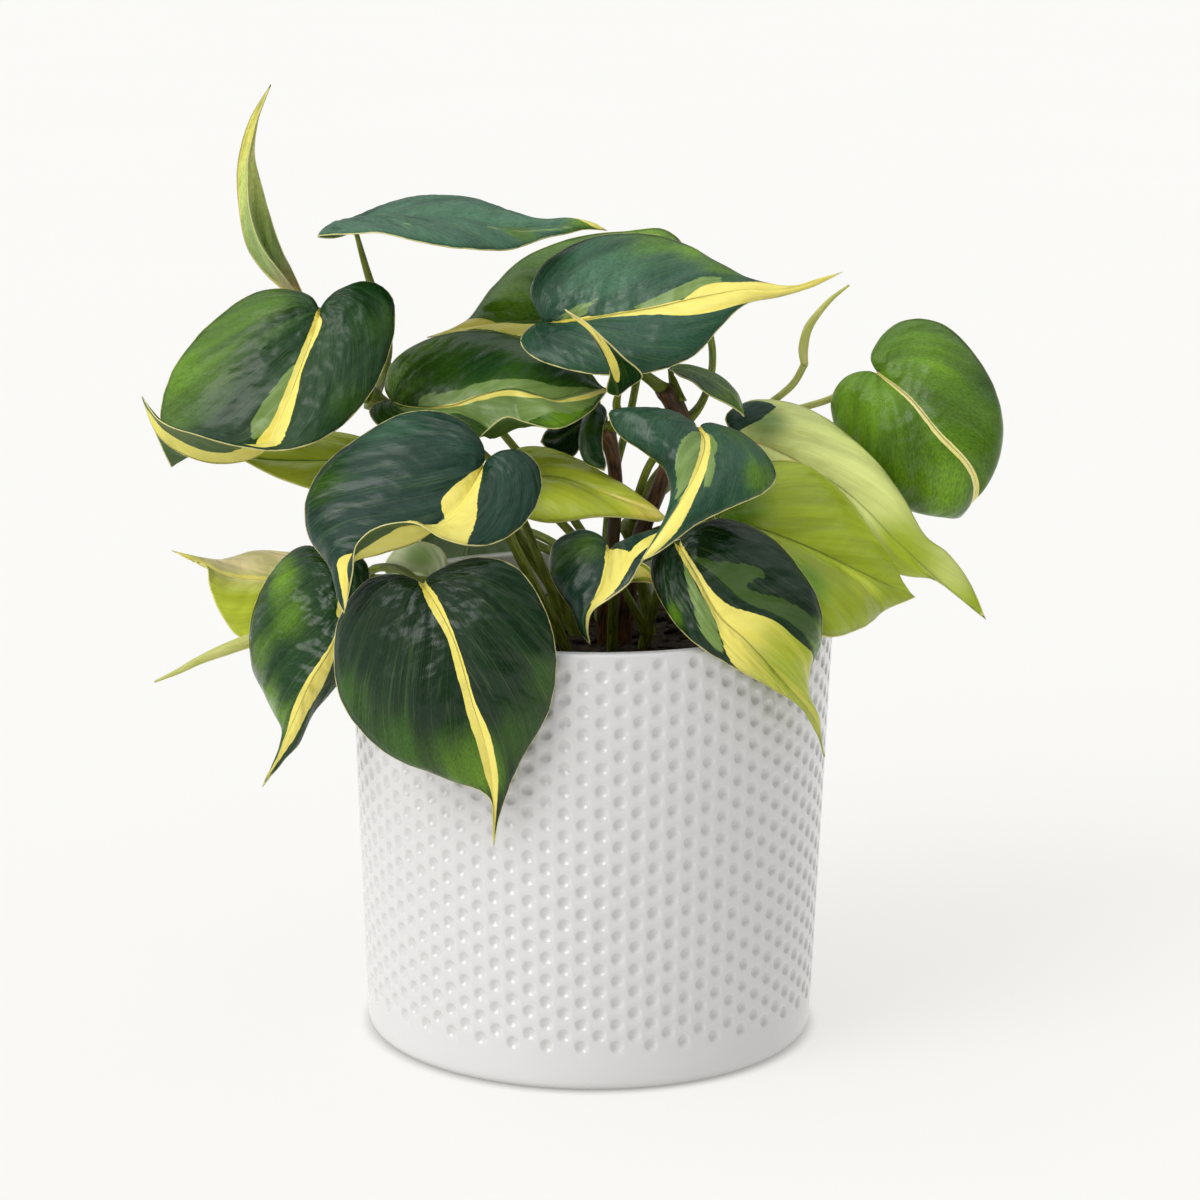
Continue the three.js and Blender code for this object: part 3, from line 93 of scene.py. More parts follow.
# Every blade is given by its midrib and its two margins, all from the base to the tip, with left and
# right as seen on the upper face. A fourth value is the arch of the blade at that point, where it
# isn't the blade's own.
LEAVES = {
    "front": {
        "rib": [(-42.5, -60, 135), (-35, -68, 123), (-30, -71, 107), (-25.5, -70, 91), (-24.5, -66, 68)],
        "left": [(-40.5, -60, 137.5), (-31, -62, 142), (-18.5, -65, 140), (-10, -68, 125),
            (-10, -68, 106.5), (-18, -69, 90.5), (-23, -67, 76.5)],
        "right": [(-48, -57, 136.5), (-57, -55, 134.5), (-64.5, -54, 123), (-64.5, -58, 106.5),
            (-54.5, -64, 93.5), (-38, -68, 87), (-26, -69, 82)]},
    "left": {
        "rib": [(-64, -34, 130.5), (-66.5, -40, 115.5), (-72.5, -41, 105), (-78.5, -37, 91),
            (-86.5, -30, 73)],
        "left": [(-61, -34, 136.5), (-58.5, -34, 134.5), (-58, -34, 127.5), (-58.5, -34, 119),
            (-62, -32, 109.5), (-66.5, -31, 101.5), (-73, -33, 93.5), (-76.5, -33, 86),
            (-81, -32, 80.5)],
        "right": [(-70.5, -28, 136.5), (-76.5, -24, 136.5), (-84.5, -21, 128.5), (-89.5, -21, 117.5),
            (-89.5, -24, 105), (-83.5, -30, 94.5), (-80.5, -33, 89.5), (-82.5, -32, 80.5)]},
    "centre_left": {
        "rib": [(-28, -44, 162), (-34, -54, 154), (-43.5, -60, 146.5), (-53, -63, 143.5),
            (-61, -62, 140), (-62.5, -60, 127)],
        "left": [(-24.5, -43, 164), (-18.5, -43, 166), (-14, -45, 162.5), (-13, -49, 157),
            (-16.5, -56, 150.5), (-23.5, -63, 146.5), (-31, -68, 146.5), (-38, -72, 149.5),
            (-44, -74, 153.5), (-51.5, -73, 153), (-58.5, -68, 146.5), (-60, -64, 138)],
        "right": [(-28.5, -42, 166.5), (-32, -39, 172), (-39, -37, 175), (-48, -36, 174.5),
            (-58.5, -37, 169.5), (-68.5, -40, 161.5), (-73, -45, 153.5), (-72, -51, 145.5),
            (-66.5, -57, 138.5), (-64.5, -59, 131.5)]},
    "upper_left": {
        "rib": [(-71, -18, 197), (-75, -26, 186), (-79, -32, 175.5), (-85, -36, 164), (-96.5, -40, 162),
            (-106, -42, 165.5), (-111, -42, 170), (-115, -38, 178.5)],
        "left": [(-67.5, -18, 201.5), (-63, -16, 204.5), (-57.5, -15, 205), (-52.5, -16, 201.5),
            (-51.5, -20, 194.5), (-53.5, -26, 186), (-58, -33, 177.5), (-66, -40, 170), (-77, -46, 166),
            (-88, -50, 167.5), (-98, -52, 170.5), (-108, -50, 173.5), (-112.5, -44, 176.5)],
        "right": [(-73, -16, 201), (-80.5, -12, 203), (-90.5, -10, 200.5), (-101.5, -11, 192),
            (-109.5, -14, 181.5), (-112.5, -20, 172), (-111, -29, 165), (-108.5, -34, 159.5),
            (-111.5, -40, 169.5)]},
    "top_left_new": {
        "arch": 1, "lime": True,
        "rib": [(-76, 0, 198), (-82.5, 2, 201.5), (-88, 4, 206.5), (-91.5, 5, 212), (-93.5, 6, 222.5),
            (-93.5, 4, 233), (-90.5, 2, 244), (-84.5, 0, 254.5)],
        "left": [(-80.5, -5, 203.5), (-87, -7, 212.5), (-90, -6, 222.5), (-90.5, -3, 232),
            (-89, 0, 243)],
        "right": [(-79, 3, 204), (-82.5, 5, 210.5), (-85.5, 7, 218), (-88, 8, 227), (-89.5, 7, 235.5),
            (-88.5, 3, 244)]},
    "top_flat": {
        "rib": [(-64, 5, 215.5), (-51.5, 4, 218.5), (-38, 2, 219), (-25, 0, 217.5), (-13, 0, 217.5),
            (-5, 2, 218.5), (3.5, 4, 216.5)],
        "left": [(-68, 10, 214), (-73, 18, 213), (-67.5, 26, 214), (-58, 32, 218), (-48.5, 32, 221),
            (-39, 30, 222), (-30.5, 26, 221), (-20, 16, 218), (-13, 8, 218), (-6.5, 5, 219.5),
            (0, 4, 218.5)],
        "right": [(-68, -4, 215), (-72, -10, 216), (-64.5, -20, 218), (-55, -25, 219), (-44.5, -26, 217),
            (-31.5, -22, 214.5), (-22, -14, 213.5), (-13, -5, 215.5), (-7.5, 0, 216), (-2.5, 3, 217)]},
    "top": {
        "rib": [(-12, -10, 193), (1.5, -14, 196), (16, -17, 199), (27.5, -18, 202), (39, -17, 204),
            (51, -14, 204), (65, -10, 208)],
        "left": [(-14.5, -8, 196), (-17, -4, 201), (-15, -1, 206.5), (-9, 3, 211), (1.5, 5, 215),
            (13.5, 5, 215.5), (25, 2, 213), (34, -5, 208.5), (41, -10, 205.5), (51, -13, 204.5),
            (59, -11, 206.5)],
        "right": [(-15.5, -14, 193), (-19, -18, 190.5), (-16.5, -23, 187.5), (-8.5, -28, 185),
            (3, -30, 183.5), (15.5, -30, 184.5), (26, -28, 188.5), (32.5, -24, 195), (39, -20, 200.5),
            (48.5, -15, 202), (57.5, -12, 204.5)]},
    "top_back": {
        "rib": [(15, 22, 196), (1.5, 22, 192.5), (-13, 21, 190), (-25.5, 19, 189.5), (-35, 15, 188.5),
            (-44.5, 10, 187)],
        "left": [(19, 18, 191.5), (15, 14, 184.5), (1.5, 12, 182), (-11.5, 12, 182.5), (-25, 12, 184.5),
            (-35, 11, 186.5), (-40, 10, 187.5)],
        "right": [(24.5, 32, 208), (19, 38, 213), (8.5, 42, 212), (-6.5, 42, 209.5), (-20.5, 38, 203.5),
            (-28.5, 30, 196.5), (-32.5, 22, 191), (-38.5, 14, 188.5)]},
    "mid_left": {
        "rib": [(-51.5, -12, 172), (-37.5, -16, 172.5), (-29.5, -17, 175.5), (-20.5, -18, 177.5),
            (-11, -18, 175), (-3, -16, 176.5), (4, -13, 177)],
        "left": [(-54, -8, 173.5), (-55.5, -3, 176), (-53.5, 2, 181.5), (-46.5, 6, 186), (-35.5, 8, 189),
            (-23.5, 7, 188.5), (-11.5, 3, 185), (-1, -4, 180), (1.5, -9, 177.5)],
        "right": [(-55.5, -14, 173.5), (-58.5, -16, 172), (-56.5, -20, 168.5), (-45, -25, 164.5),
            (-32, -27, 164.5), (-27.5, -32, 169.5, -8), (-22.5, -33, 173, -8), (-16.5, -31, 171, -6),
            (-9.5, -28, 169), (-1, -20, 172), (2.5, -16, 175.5)]},
    "lime_left": {
        "arch": 2, "lime": True,
        "rib": [(-51, -8, 156.5), (-64, -13, 157.5), (-76.5, -17, 158), (-86.5, -18, 158.5),
            (-94.5, -18, 160.5)],
        "left": [(-50, -12, 153), (-54.5, -18, 150.5), (-64.5, -22, 150), (-73.5, -24, 152),
            (-82.5, -24, 155), (-91, -20, 158.5)],
        "right": [(-51, -6, 159.5), (-58, -4, 161.5), (-68.5, -4, 163.5), (-80, -9, 162.5),
            (-88.5, -15, 160.5)]},
    "far_left": {
        "arch": 2, "lime": True,
        "rib": [(-74, 10, 121), (-88, 6, 121), (-98.5, 3, 123), (-104.5, 2, 126), (-113, 4, 129.5)],
        "left": [(-72, 4, 118.5), (-75.5, -3, 112), (-83.5, -7, 107.5), (-94, -8, 108.5), (-99, -6, 114),
            (-102.5, -3, 121.5), (-103.5, 0, 126), (-108, 3, 127)],
        "right": [(-71.5, 14, 123.5), (-75, 22, 125.5), (-83, 26, 124.5), (-91.5, 25, 125),
            (-100, 17, 124.5), (-105, 8, 126.5), (-108.5, 5, 128)]},
    "lime_centre": {
        "lime": True,
        "rib": [(-23.5, -8, 152.5), (-8.5, -14, 153.5), (2, -18, 150.5), (12.5, -22, 147.5),
            (19.5, -24, 145)],
        "left": [(-24.5, -2, 155.5), (-19.5, 0, 159), (-11.5, -1, 159), (-1, -7, 156), (5, -13, 153.5),
            (8.5, -15, 152), (16.5, -20, 146.5)],
        "right": [(-24.5, -16, 148), (-19, -22, 145), (-11, -27, 144), (2, -28, 146), (11, -26, 145),
            (17, -24, 144)]},
    "centre_right": {
        "rib": [(27, -26, 169), (28.5, -34, 167), (26.5, -44, 161.5), (22.5, -52, 155.5),
            (17.5, -58, 148.5), (12, -62, 141.5)],
        "left": [(30.5, -26, 170.5), (38, -28, 168), (44.5, -32, 163.5), (47, -38, 159), (44, -44, 156),
            (35, -50, 153), (27, -55, 150), (20.5, -59, 146), (15.5, -61, 143)],
        "right": [(24, -24, 171), (17.5, -22, 171.5), (9.5, -25, 174), (4, -28, 173.5), (6, -30, 168.5),
            (13.5, -34, 164), (18.5, -38, 160.5), (20, -44, 156), (18.5, -52, 150.5),
            (15.5, -58, 146.5)]},
    "small_heart": {
        "arch": 2,
        "rib": [(4.5, -40, 140), (3.5, -46, 136.5), (2, -50, 131.5), (-2, -54, 125.5), (-0.5, -54, 118)],
        "left": [(8.5, -40, 142), (13.5, -42, 144), (17.5, -44, 146), (16, -50, 142.5),
            (12.5, -54, 139.5), (9.5, -57, 135), (4.5, -57, 131), (0, -56, 127), (-1, -55, 121.5)],
        "right": [(2, -36, 142.5), (-3.5, -33, 143.5), (-9.5, -34, 140.5), (-11, -38, 135.5),
            (-9, -43, 130.5), (-5, -48, 125.5), (-3, -52, 121)]},
    "right_front": {
        "rib": [(22, -42, 141.5), (26, -52, 136), (32, -58, 126.5), (39, -60, 120.5), (49.5, -54, 108),
            (57, -46, 97.5), (61, -38, 84.5)],
        "left": [(24.5, -40, 144.5), (31.5, -37, 147), (39, -36, 146), (47, -37, 142), (54, -39, 134.5),
            (58.5, -41, 126), (59, -43, 116.5), (56, -45, 109.5), (56, -44, 103), (58.5, -41, 95)],
        "right": [(19.5, -42, 142.5), (16, -43, 139), (15.5, -48, 133.5), (19.5, -55, 126.5),
            (26.5, -61, 120), (36, -61, 114), (45.5, -56, 107.5), (53.5, -49, 101), (58.5, -42, 92.5)]},
    "lime_right": {
        "lime": True,
        "rib": [(32, -18, 143.5), (44, -19, 141), (57.5, -17, 135.5), (72.5, -12, 127.5),
            (86.5, -5, 120)],
        "left": [(31.5, -13, 148), (36.5, -6, 153), (46, 0, 156), (55.5, 4, 154.5), (65, 6, 148),
            (74, 6, 137.5), (81, 1, 127.5), (84, -3, 122)],
        "right": [(34, -22, 137.5), (40, -29, 128.5), (48.5, -39, 121.5), (60.5, -37, 116.5),
            (70.5, -25, 116), (78, -13, 118), (83, -7, 119)]},
    "pale_right": {
        "rib": [(38, 12, 160.5), (45.5, 12, 158), (56, 12, 153), (69.5, 11, 144.5), (82, 10, 132.5),
            (93, 10, 122.5), (107.5, 12, 110)],
        "left": [(35.5, 14, 165), (41, 18, 168.5), (52, 24, 168), (63.5, 26, 163), (74, 24, 155),
            (83.5, 19, 144), (90.5, 14, 132.5), (97, 12, 128), (103, 12, 120)],
        "right": [(41, 10, 154.5), (50.5, 9, 142), (64.5, 10, 131), (75.5, 10, 125.5), (83.5, 11, 122.5),
            (93, 11, 121.5), (100.5, 12, 117.5)]},
    "far_right": {
        "rib": [(78, 36, 174), (86.5, 28, 168), (94.5, 22, 159), (102, 21, 151.5), (104.5, 23, 146),
            (104.5, 28, 140), (102, 34, 134.5)],
        "left": [(76.5, 39, 178), (79.5, 44, 183), (86, 47, 187), (96, 46, 186.5), (105, 40, 179),
            (111.5, 34, 167), (111.5, 28, 154), (107.5, 27, 144), (103.5, 31, 138)],
        "right": [(75, 37, 174), (69.5, 38, 172), (66, 38, 166.5), (66.5, 35, 159.5), (70.5, 31, 150.5),
            (79, 29, 141), (89, 30, 136), (97.5, 32, 134.5), (100.5, 34, 134)]},
    "small_dark": {
        "arch": 1,
        "rib": [(19.5, 0, 180.5), (25.5, -4, 180.5), (32, -6, 178), (37.5, -6, 174), (40, -4, 168.5)],
        "left": [(23, 3, 181), (28.5, 4, 180), (34, 2, 178), (38.5, 0, 173.5)],
        "right": [(22.5, -8, 180), (26, -12, 179), (30, -14, 176), (35, -12, 173), (38, -8, 170.5)]},
    "top_new": {
        "arch": 0, "lime": True,
        "rib": [(6.5, -28, 177.5), (4.5, -36, 186), (1, -42, 194.5), (-7.5, -41, 202)],
        "left": [(3.5, -27, 178.5), (4, -32, 185), (1.5, -37, 192), (-2.5, -38, 197.5)],
        "right": [(9, -30, 180.5), (12.5, -33, 184), (8, -39, 189.5), (2.5, -42, 195), (-2, -43, 199)]},
    "dark_curl": {
        "arch": 2,
        "rib": [(1.5, -8, 173), (-1.5, -14, 169), (-2.5, -18, 164.5), (-1, -20, 159.5), (3, -20, 156.5)],
        "left": [(3.5, -8, 170.5), (2.5, -13, 166.5), (2.5, -17, 161.5), (3.5, -19, 158)],
        "right": [(-0.5, -6, 172), (-3, -10, 167), (-3.5, -15, 162.5), (-2, -19, 158.5)]},
    "dark_inner": {
        "arch": 1, "rib": [(-1.5, 5, 166), (-9, 3, 161), (-14, 1, 160.5)],
        "left": [(-2.5, 2, 161), (-5.5, 0, 156.5), (-11.5, 0, 158)],
        "right": [(-5, 8, 167), (-10, 7, 164), (-13, 3, 162.5)]},
    "pale_back": {
        "arch": 2, "lime": True, "rib": [(-41.5, 22, 117.5), (-48, 22, 120), (-56.5, 18, 121)],
        "left": [(-41.5, 20, 115), (-48.5, 18, 115.5), (-55, 18, 118.5)],
        "right": [(-39.5, 24, 121.5), (-42, 28, 125.5), (-48, 30, 127), (-53.5, 27, 126),
            (-56.5, 22, 123)]},
    "tip_yellow": {
        "arch": 1, "lime": True, "rib": [(5, -22, 128.5), (12.5, -31, 132), (19, -36, 128)],
        "left": [(8, -23, 131), (12.5, -28, 134), (16, -33, 132.5)],
        "right": [(8, -26, 128), (11.5, -32, 129.5), (15.5, -36, 130)]},
    "back_top": {
        "rib": [(12.5, 48, 192), (11.5, 64, 191), (8.5, 82, 186.5), (5.5, 98, 179.5)],
        "left": [(9.5, 46, 194), (-1, 52, 194.5), (-8, 66, 191.5), (-6.5, 82, 186), (2, 94, 181.5)],
        "right": [(16, 46, 194.5), (26.5, 52, 194), (31.5, 66, 189.5), (27.5, 80, 186), (15, 93, 181.5)]},
    "back_right": {
        "rib": [(58.5, 50, 135.5), (62, 66, 133), (67, 82, 127), (72.5, 96, 117.5)],
        "left": [(55, 49, 137.5), (46.5, 54, 136.5), (45.5, 68, 132), (54.5, 84, 124),
            (67.5, 94, 118.5)],
        "right": [(62.5, 49, 138), (72.5, 54, 137.5), (80, 68, 131.5), (81, 82, 125), (75.5, 93, 119.5)]},
    "back_left": {
        "rib": [(-43, 48, 140.5), (-46.5, 64, 138.5), (-50.5, 80, 132), (-55, 94, 122.5)],
        "left": [(-46.5, 46, 143), (-58.5, 52, 143), (-64, 66, 137.5), (-63.5, 80, 130.5),
            (-57.5, 92, 123.5)],
        "right": [(-39.5, 46, 143), (-29.5, 52, 142), (-26, 66, 136), (-32.5, 82, 129),
            (-49, 92, 123.5)]},
    "back_low_left": {
        "rib": [(-32, 62, 126.5), (-35, 76, 121), (-39, 86, 101), (-42, 88, 78)],
        "left": [(-36, 62, 128), (-45.5, 71, 124), (-52.5, 82, 107), (-49.5, 87, 88), (-44, 88, 79.5)],
        "right": [(-28.5, 62, 127.5), (-21.5, 71, 123.5), (-20, 82, 106.5), (-27.5, 87, 88),
            (-39, 88, 79.5)]},
    "back_low_right": {
        "rib": [(41.5, 58, 128), (45, 72, 122.5), (48.5, 84, 102), (51.5, 86, 83.5)],
        "left": [(37.5, 59, 128.5), (29.5, 68, 123.5), (29.5, 80, 107), (36.5, 85, 90), (48.5, 86, 84)],
        "right": [(45.5, 59, 129), (55, 68, 125), (60, 80, 107.5), (58, 84, 91.5), (52.5, 86, 84.5)]},
    "back_mid": {
        "rib": [(-34, 40, 170), (-36.5, 56, 169.5), (-39.5, 72, 165.5), (-44, 88, 157.5)],
        "left": [(-37.5, 39, 172.5), (-47.5, 46, 172), (-53, 60, 167), (-52.5, 74, 162),
            (-46.5, 86, 157.5)],
        "right": [(-30.5, 39, 172.5), (-22, 46, 172), (-17.5, 60, 167.5), (-22.5, 74, 163),
            (-38, 86, 158)]},
    "back_far_left": {
        "rib": [(-73, 44, 175.5), (-82.5, 58, 175), (-94.5, 74, 170), (-105.5, 86, 160)],
        "left": [(-71, 37, 172.5), (-79.5, 42, 166.5), (-91, 56, 161.5), (-101.5, 74, 157.5)],
        "right": [(-71, 53, 177), (-77, 70, 181), (-88.5, 88, 178.5), (-101, 93, 169.5)]},
    "back_far_right": {
        "rib": [(74, 48, 156), (81, 62, 155), (89.5, 76, 149.5), (96.5, 88, 139.5)],
        "left": [(72, 53, 158.5), (73, 67, 162.5), (82, 84, 161.5), (93.5, 92, 148.5)],
        "right": [(76.5, 43, 154), (84.5, 47, 150), (94.5, 62, 143.5), (98.5, 78, 138)]},
}

# Each vine is a stem out of the soil and the leaf stalks that branch off it. The fourth value is the
# radius. A stalk ends under the base of the leaf it carries.
VINES = {
    "stem_brown": {
        "woody": True,
        "stem": [(8, -2, 103, 2.4), (9.5, -4, 118.5, 2.3), (12.5, -4, 135, 2.3), (18.5, -4, 151.5, 2.2),
            (23, -2, 167, 2.5), (18.5, -4, 176, 1.9)],
        "stalks": [
            {"leaf": "top", "path": [(18.5, -4, 175.5, 1.5), (13.5, -5, 179.5, 1.3),
                (1.5, -4, 185.5, 1.2), (-8.5, -6, 190.5, 1.1)]},
            {"leaf": "top_back", "path": [(24, -2, 166, 1.4), (28.5, 2, 170.5, 1.1), (31.5, 8, 178, 1),
                (31.5, 14, 186, 1), (28.5, 20, 193, 1)]},
            {"leaf": "small_dark", "path": [(23, -3, 172, 1.3), (21, -1, 177.5, 1.1)]}]},
    "stem_red": {
        "woody": True,
        "stem": [(3, -4, 103.5, 1.9), (3.5, -6, 119, 1.9), (5.5, -6, 135.5, 1.8), (6, -7, 152, 1.9),
            (4.5, -9, 161.5, 1.9), (2.5, -9, 165.5, 2)],
        "stalks": [
            {"leaf": "dark_curl", "path": [(2.5, -9, 164.5, 1.2), (2.5, -8, 169.5, 1)]},
            {"leaf": "top_new", "path": [(3.5, -9, 165.5, 1.4), (6.5, -15, 169.5, 1.3),
                (6, -21, 174.5, 1.1)]},
            {"leaf": "dark_inner", "path": [(2.5, -8, 164.5, 1.1), (1.5, 1, 162, 1)]}]},
    "petiole_centre_left": {
        "leaf": "centre_left",
        "stem": [(-6, -22, 106.5, 1.5), (-8.5, -26, 115, 1.4), (-13.5, -31, 125.5, 1.4),
            (-21.5, -39, 143.5, 1.3), (-26.5, -42, 157, 1.2)]},
    "petiole_lime_centre": {
        "leaf": "lime_centre",
        "stem": [(-8.5, -8, 104.5, 1.4), (-10, -12, 120, 1.3), (-14, -14, 131.5, 1.2),
            (-18.5, -12, 142, 1.1), (-22.5, -9, 148.5, 1)]},
    "stem_trailing": {
        "stem": [(-12.5, -14, 105.5, 1.9), (-19, -16, 117, 1.8), (-29.5, -20, 122.5, 1.8),
            (-38.5, -24, 126.5, 1.8), (-49, -26, 128, 1.7), (-59.5, -23, 127, 1.7),
            (-68, -16, 121.5, 1.5), (-76, -12, 116.5, 1.4), (-84, -12, 111, 1.3)],
        "stalks": [
            {"leaf": "front", "path": [(-59, -23, 127, 1.3), (-56.5, -34, 133, 1.1),
                (-48.5, -49, 136, 1.1)]},
            {"leaf": "left", "path": [(-62, -21, 125.5, 1.3), (-63.5, -26, 128.5, 1.2)]},
            {"leaf": "far_left", "path": [(-68, -16, 121.5, 1.3), (-69, -6, 115, 1.2),
                (-70, 4, 111, 1.1)]}]},
    "stem_upper_left": {
        "stem": [(-2, 4, 101.5, 1.9), (-8.5, 4, 116.5, 1.8), (-19.5, 2, 133.5, 1.8), (-33, 0, 150, 1.8),
            (-46, -2, 164, 1.7), (-55.5, -4, 171, 1.7), (-59, -5, 173, 1.6)],
        "stalks": [
            {"leaf": "upper_left", "path": [(-59, -5, 172.5, 1.3), (-64.5, -2, 181.5, 1.2),
                (-69, -8, 191, 1.1)]},
            {"leaf": "top_left_new", "path": [(-59, -5, 172.5, 1.3), (-64, 3, 183, 1.2),
                (-71, 1, 194, 1.1)]},
            {"leaf": "top_flat", "path": [(-58, -5, 172.5, 1.3), (-56.5, 9, 176, 1.2),
                (-55, 13, 183, 1.1), (-56, 11, 191.5, 1.1), (-59.5, 8, 202, 1.1)]},
            {"leaf": "mid_left", "path": [(-51, -3, 168.5, 1.2), (-52, -6, 170, 1.1)]},
            {"leaf": "lime_left", "path": [(-40.5, -1, 159, 1.2), (-46, -4, 157, 1.1)]},
            {"leaf": "pale_back", "path": [(-8.5, 4, 116, 1.2), (-24, 13, 114.5, 1.1),
                (-36, 20, 113.5, 1)]}]},
    "stem_right": {
        "stem": [(16, 4, 101.5, 1.8), (14.5, 4, 117, 1.8), (11.5, 4, 132, 1.7), (11, 4, 139, 1.6)],
        "stalks": [
            {"leaf": "centre_right", "path": [(11, 4, 138, 1.2), (12.5, -8, 149.5, 1.1),
                (16, -14, 159, 1.1), (23, -20, 166.5, 1)]},
            {"leaf": "far_right", "youth": 0.7, "path": [(11, 4, 138, 1.2), (15, 6, 142.5, 1.1),
                (20.5, 9, 147, 1.1), (34.5, 19, 155, 1.1), (51.5, 33, 162.5, 1), (66.5, 42, 166, 1),
                (74, 43, 170.5, 1)]},
            {"leaf": "pale_right", "path": [(11.5, 4, 136, 1.2), (13.5, 6, 144, 1.1),
                (18.5, 10, 151.5, 1.1), (29, 13, 157.5, 1.1)]},
            {"leaf": "lime_right", "path": [(12.5, 4, 133.5, 1.2), (19, -6, 138.5, 1.1),
                (25.5, -12, 141, 1.1)]},
            {"youth": 0.6, "path": [(11.5, 4, 136, 1.2), (16, 10, 145.5, 1.1), (26.5, 18, 154, 1),
                (40, 24, 161.5, 1), (49.5, 26, 168, 1), (54.5, 26, 172.5, 1), (57.5, 26, 178, 1)]}]},
    "stem_front": {
        "leaf": "small_heart",
        "stem": [(5.5, -12, 104, 1.5), (5.5, -18, 115, 1.4), (5.5, -27, 126.5, 1.2),
            (5, -34, 134.5, 1.1)]},
    "stem_front_right": {
        "leaf": "right_front",
        "stem": [(13, -12, 104, 1.5), (15.5, -18, 116.5, 1.4), (18.5, -28, 129.5, 1.3)],
        "stalks": [
            {"leaf": "tip_yellow", "path": [(14.5, -16, 112.5, 1.2), (10, -20, 122, 1)]}]},
    "stem_back": {
        "stem": [(2.5, 21, 104, 2.2), (3, 24, 112, 2.2), (3.5, 28, 120, 2.1)],
        "stalks": [
            {"leaf": "back_top", "path": [(3.5, 27.5, 119, 1.3), (5, 34, 140, 1.2), (11, 39, 165.5, 1.1),
                (13.5, 43, 184.5, 1.1)]},
            {"leaf": "back_right", "path": [(3.5, 27.5, 118.5, 1.3), (24.5, 39, 125, 1.2),
                (46, 45, 130, 1.1)]},
            {"leaf": "back_left", "path": [(3.5, 27, 118, 1.3), (-14.5, 37, 124.5, 1.2),
                (-34, 43, 133, 1.1)]},
            {"leaf": "back_low_left", "path": [(3, 26, 116, 1.3), (-12, 42, 125, 1.2),
                (-26, 54, 127, 1.1)]},
            {"leaf": "back_low_right", "path": [(3, 26, 116, 1.3), (16, 40, 124, 1.2),
                (28, 50, 126, 1.1)]},
            {"leaf": "back_far_left", "path": [(3.5, 28, 119.5, 1.3), (-11, 35, 134, 1.2),
                (-30, 40, 149.5, 1.1), (-49, 42, 168, 1.1), (-64, 43, 177.5, 1)]},
            {"leaf": "back_far_right", "path": [(3.5, 28, 119.5, 1.3), (16.5, 36, 125, 1.2),
                (38.5, 43, 134, 1.1), (55, 47, 143.5, 1.1), (66, 48, 154, 1)]},
            {"leaf": "back_mid", "path": [(3.5, 28, 119.5, 1.3), (-6, 34, 134, 1.2),
                (-25.5, 37, 157, 1.1)]}]},
}

# Rolled young leaves on the ends of their stalks
SPEARS = {
    "spear_left": {
        "vine": "stem_trailing",
        "path": [(-91, -12, 108.5, 1.9), (-97.5, -12, 106, 1.7), (-104.5, -12, 103, 1.2),
            (-110, -12, 100, 0.8), (-116.5, -12, 97, 0.3)]},
    "spear_right": {
        "vine": "stem_right",
        "path": [(57, 26, 182, 1.4), (58, 25, 187.5, 1.3), (60.5, 23, 192, 1), (64, 21, 196.5, 0.7),
            (68.5, 19, 200.5, 0.3)]},
}


def srgb(red, green, blue):
    """A linear colour from 0 to 255 display values."""
    def linear(value):
        share = value / 255
        return share / 12.92 if share <= 0.04045 else ((share + 0.055) / 1.055) ** 2.4
    return (linear(red), linear(green), linear(blue), 1.0)


# Leaf colours by their display values
COLOURS = {name: srgb(*shade) for name, shade in {
    "deep": (10, 42, 14), "dark": (22, 60, 20), "mid": (46, 82, 16), "fresh": (76, 112, 16),
    "bright": (108, 150, 24), "lime": (166, 184, 40), "olive": (112, 126, 36), "moss": (66, 92, 36),
    "cool": (24, 58, 42), "slate": (42, 80, 56), "teal": (64, 106, 78), "sage": (134, 160, 88),
    "pale": (236, 244, 146), "mist": (214, 220, 176), "citron": (204, 216, 66), "beige": (226, 206, 150),
    "yellow": (248, 233, 118), "butter": (240, 224, 96), "gold": (205, 160, 50), "cream": (246, 236, 160),
    "blush": (205, 150, 110),
}.items()}
# Leaves of these tones have an even ground without dark flecks
CALM_TONES = ("pale", "mist", "lime", "citron")

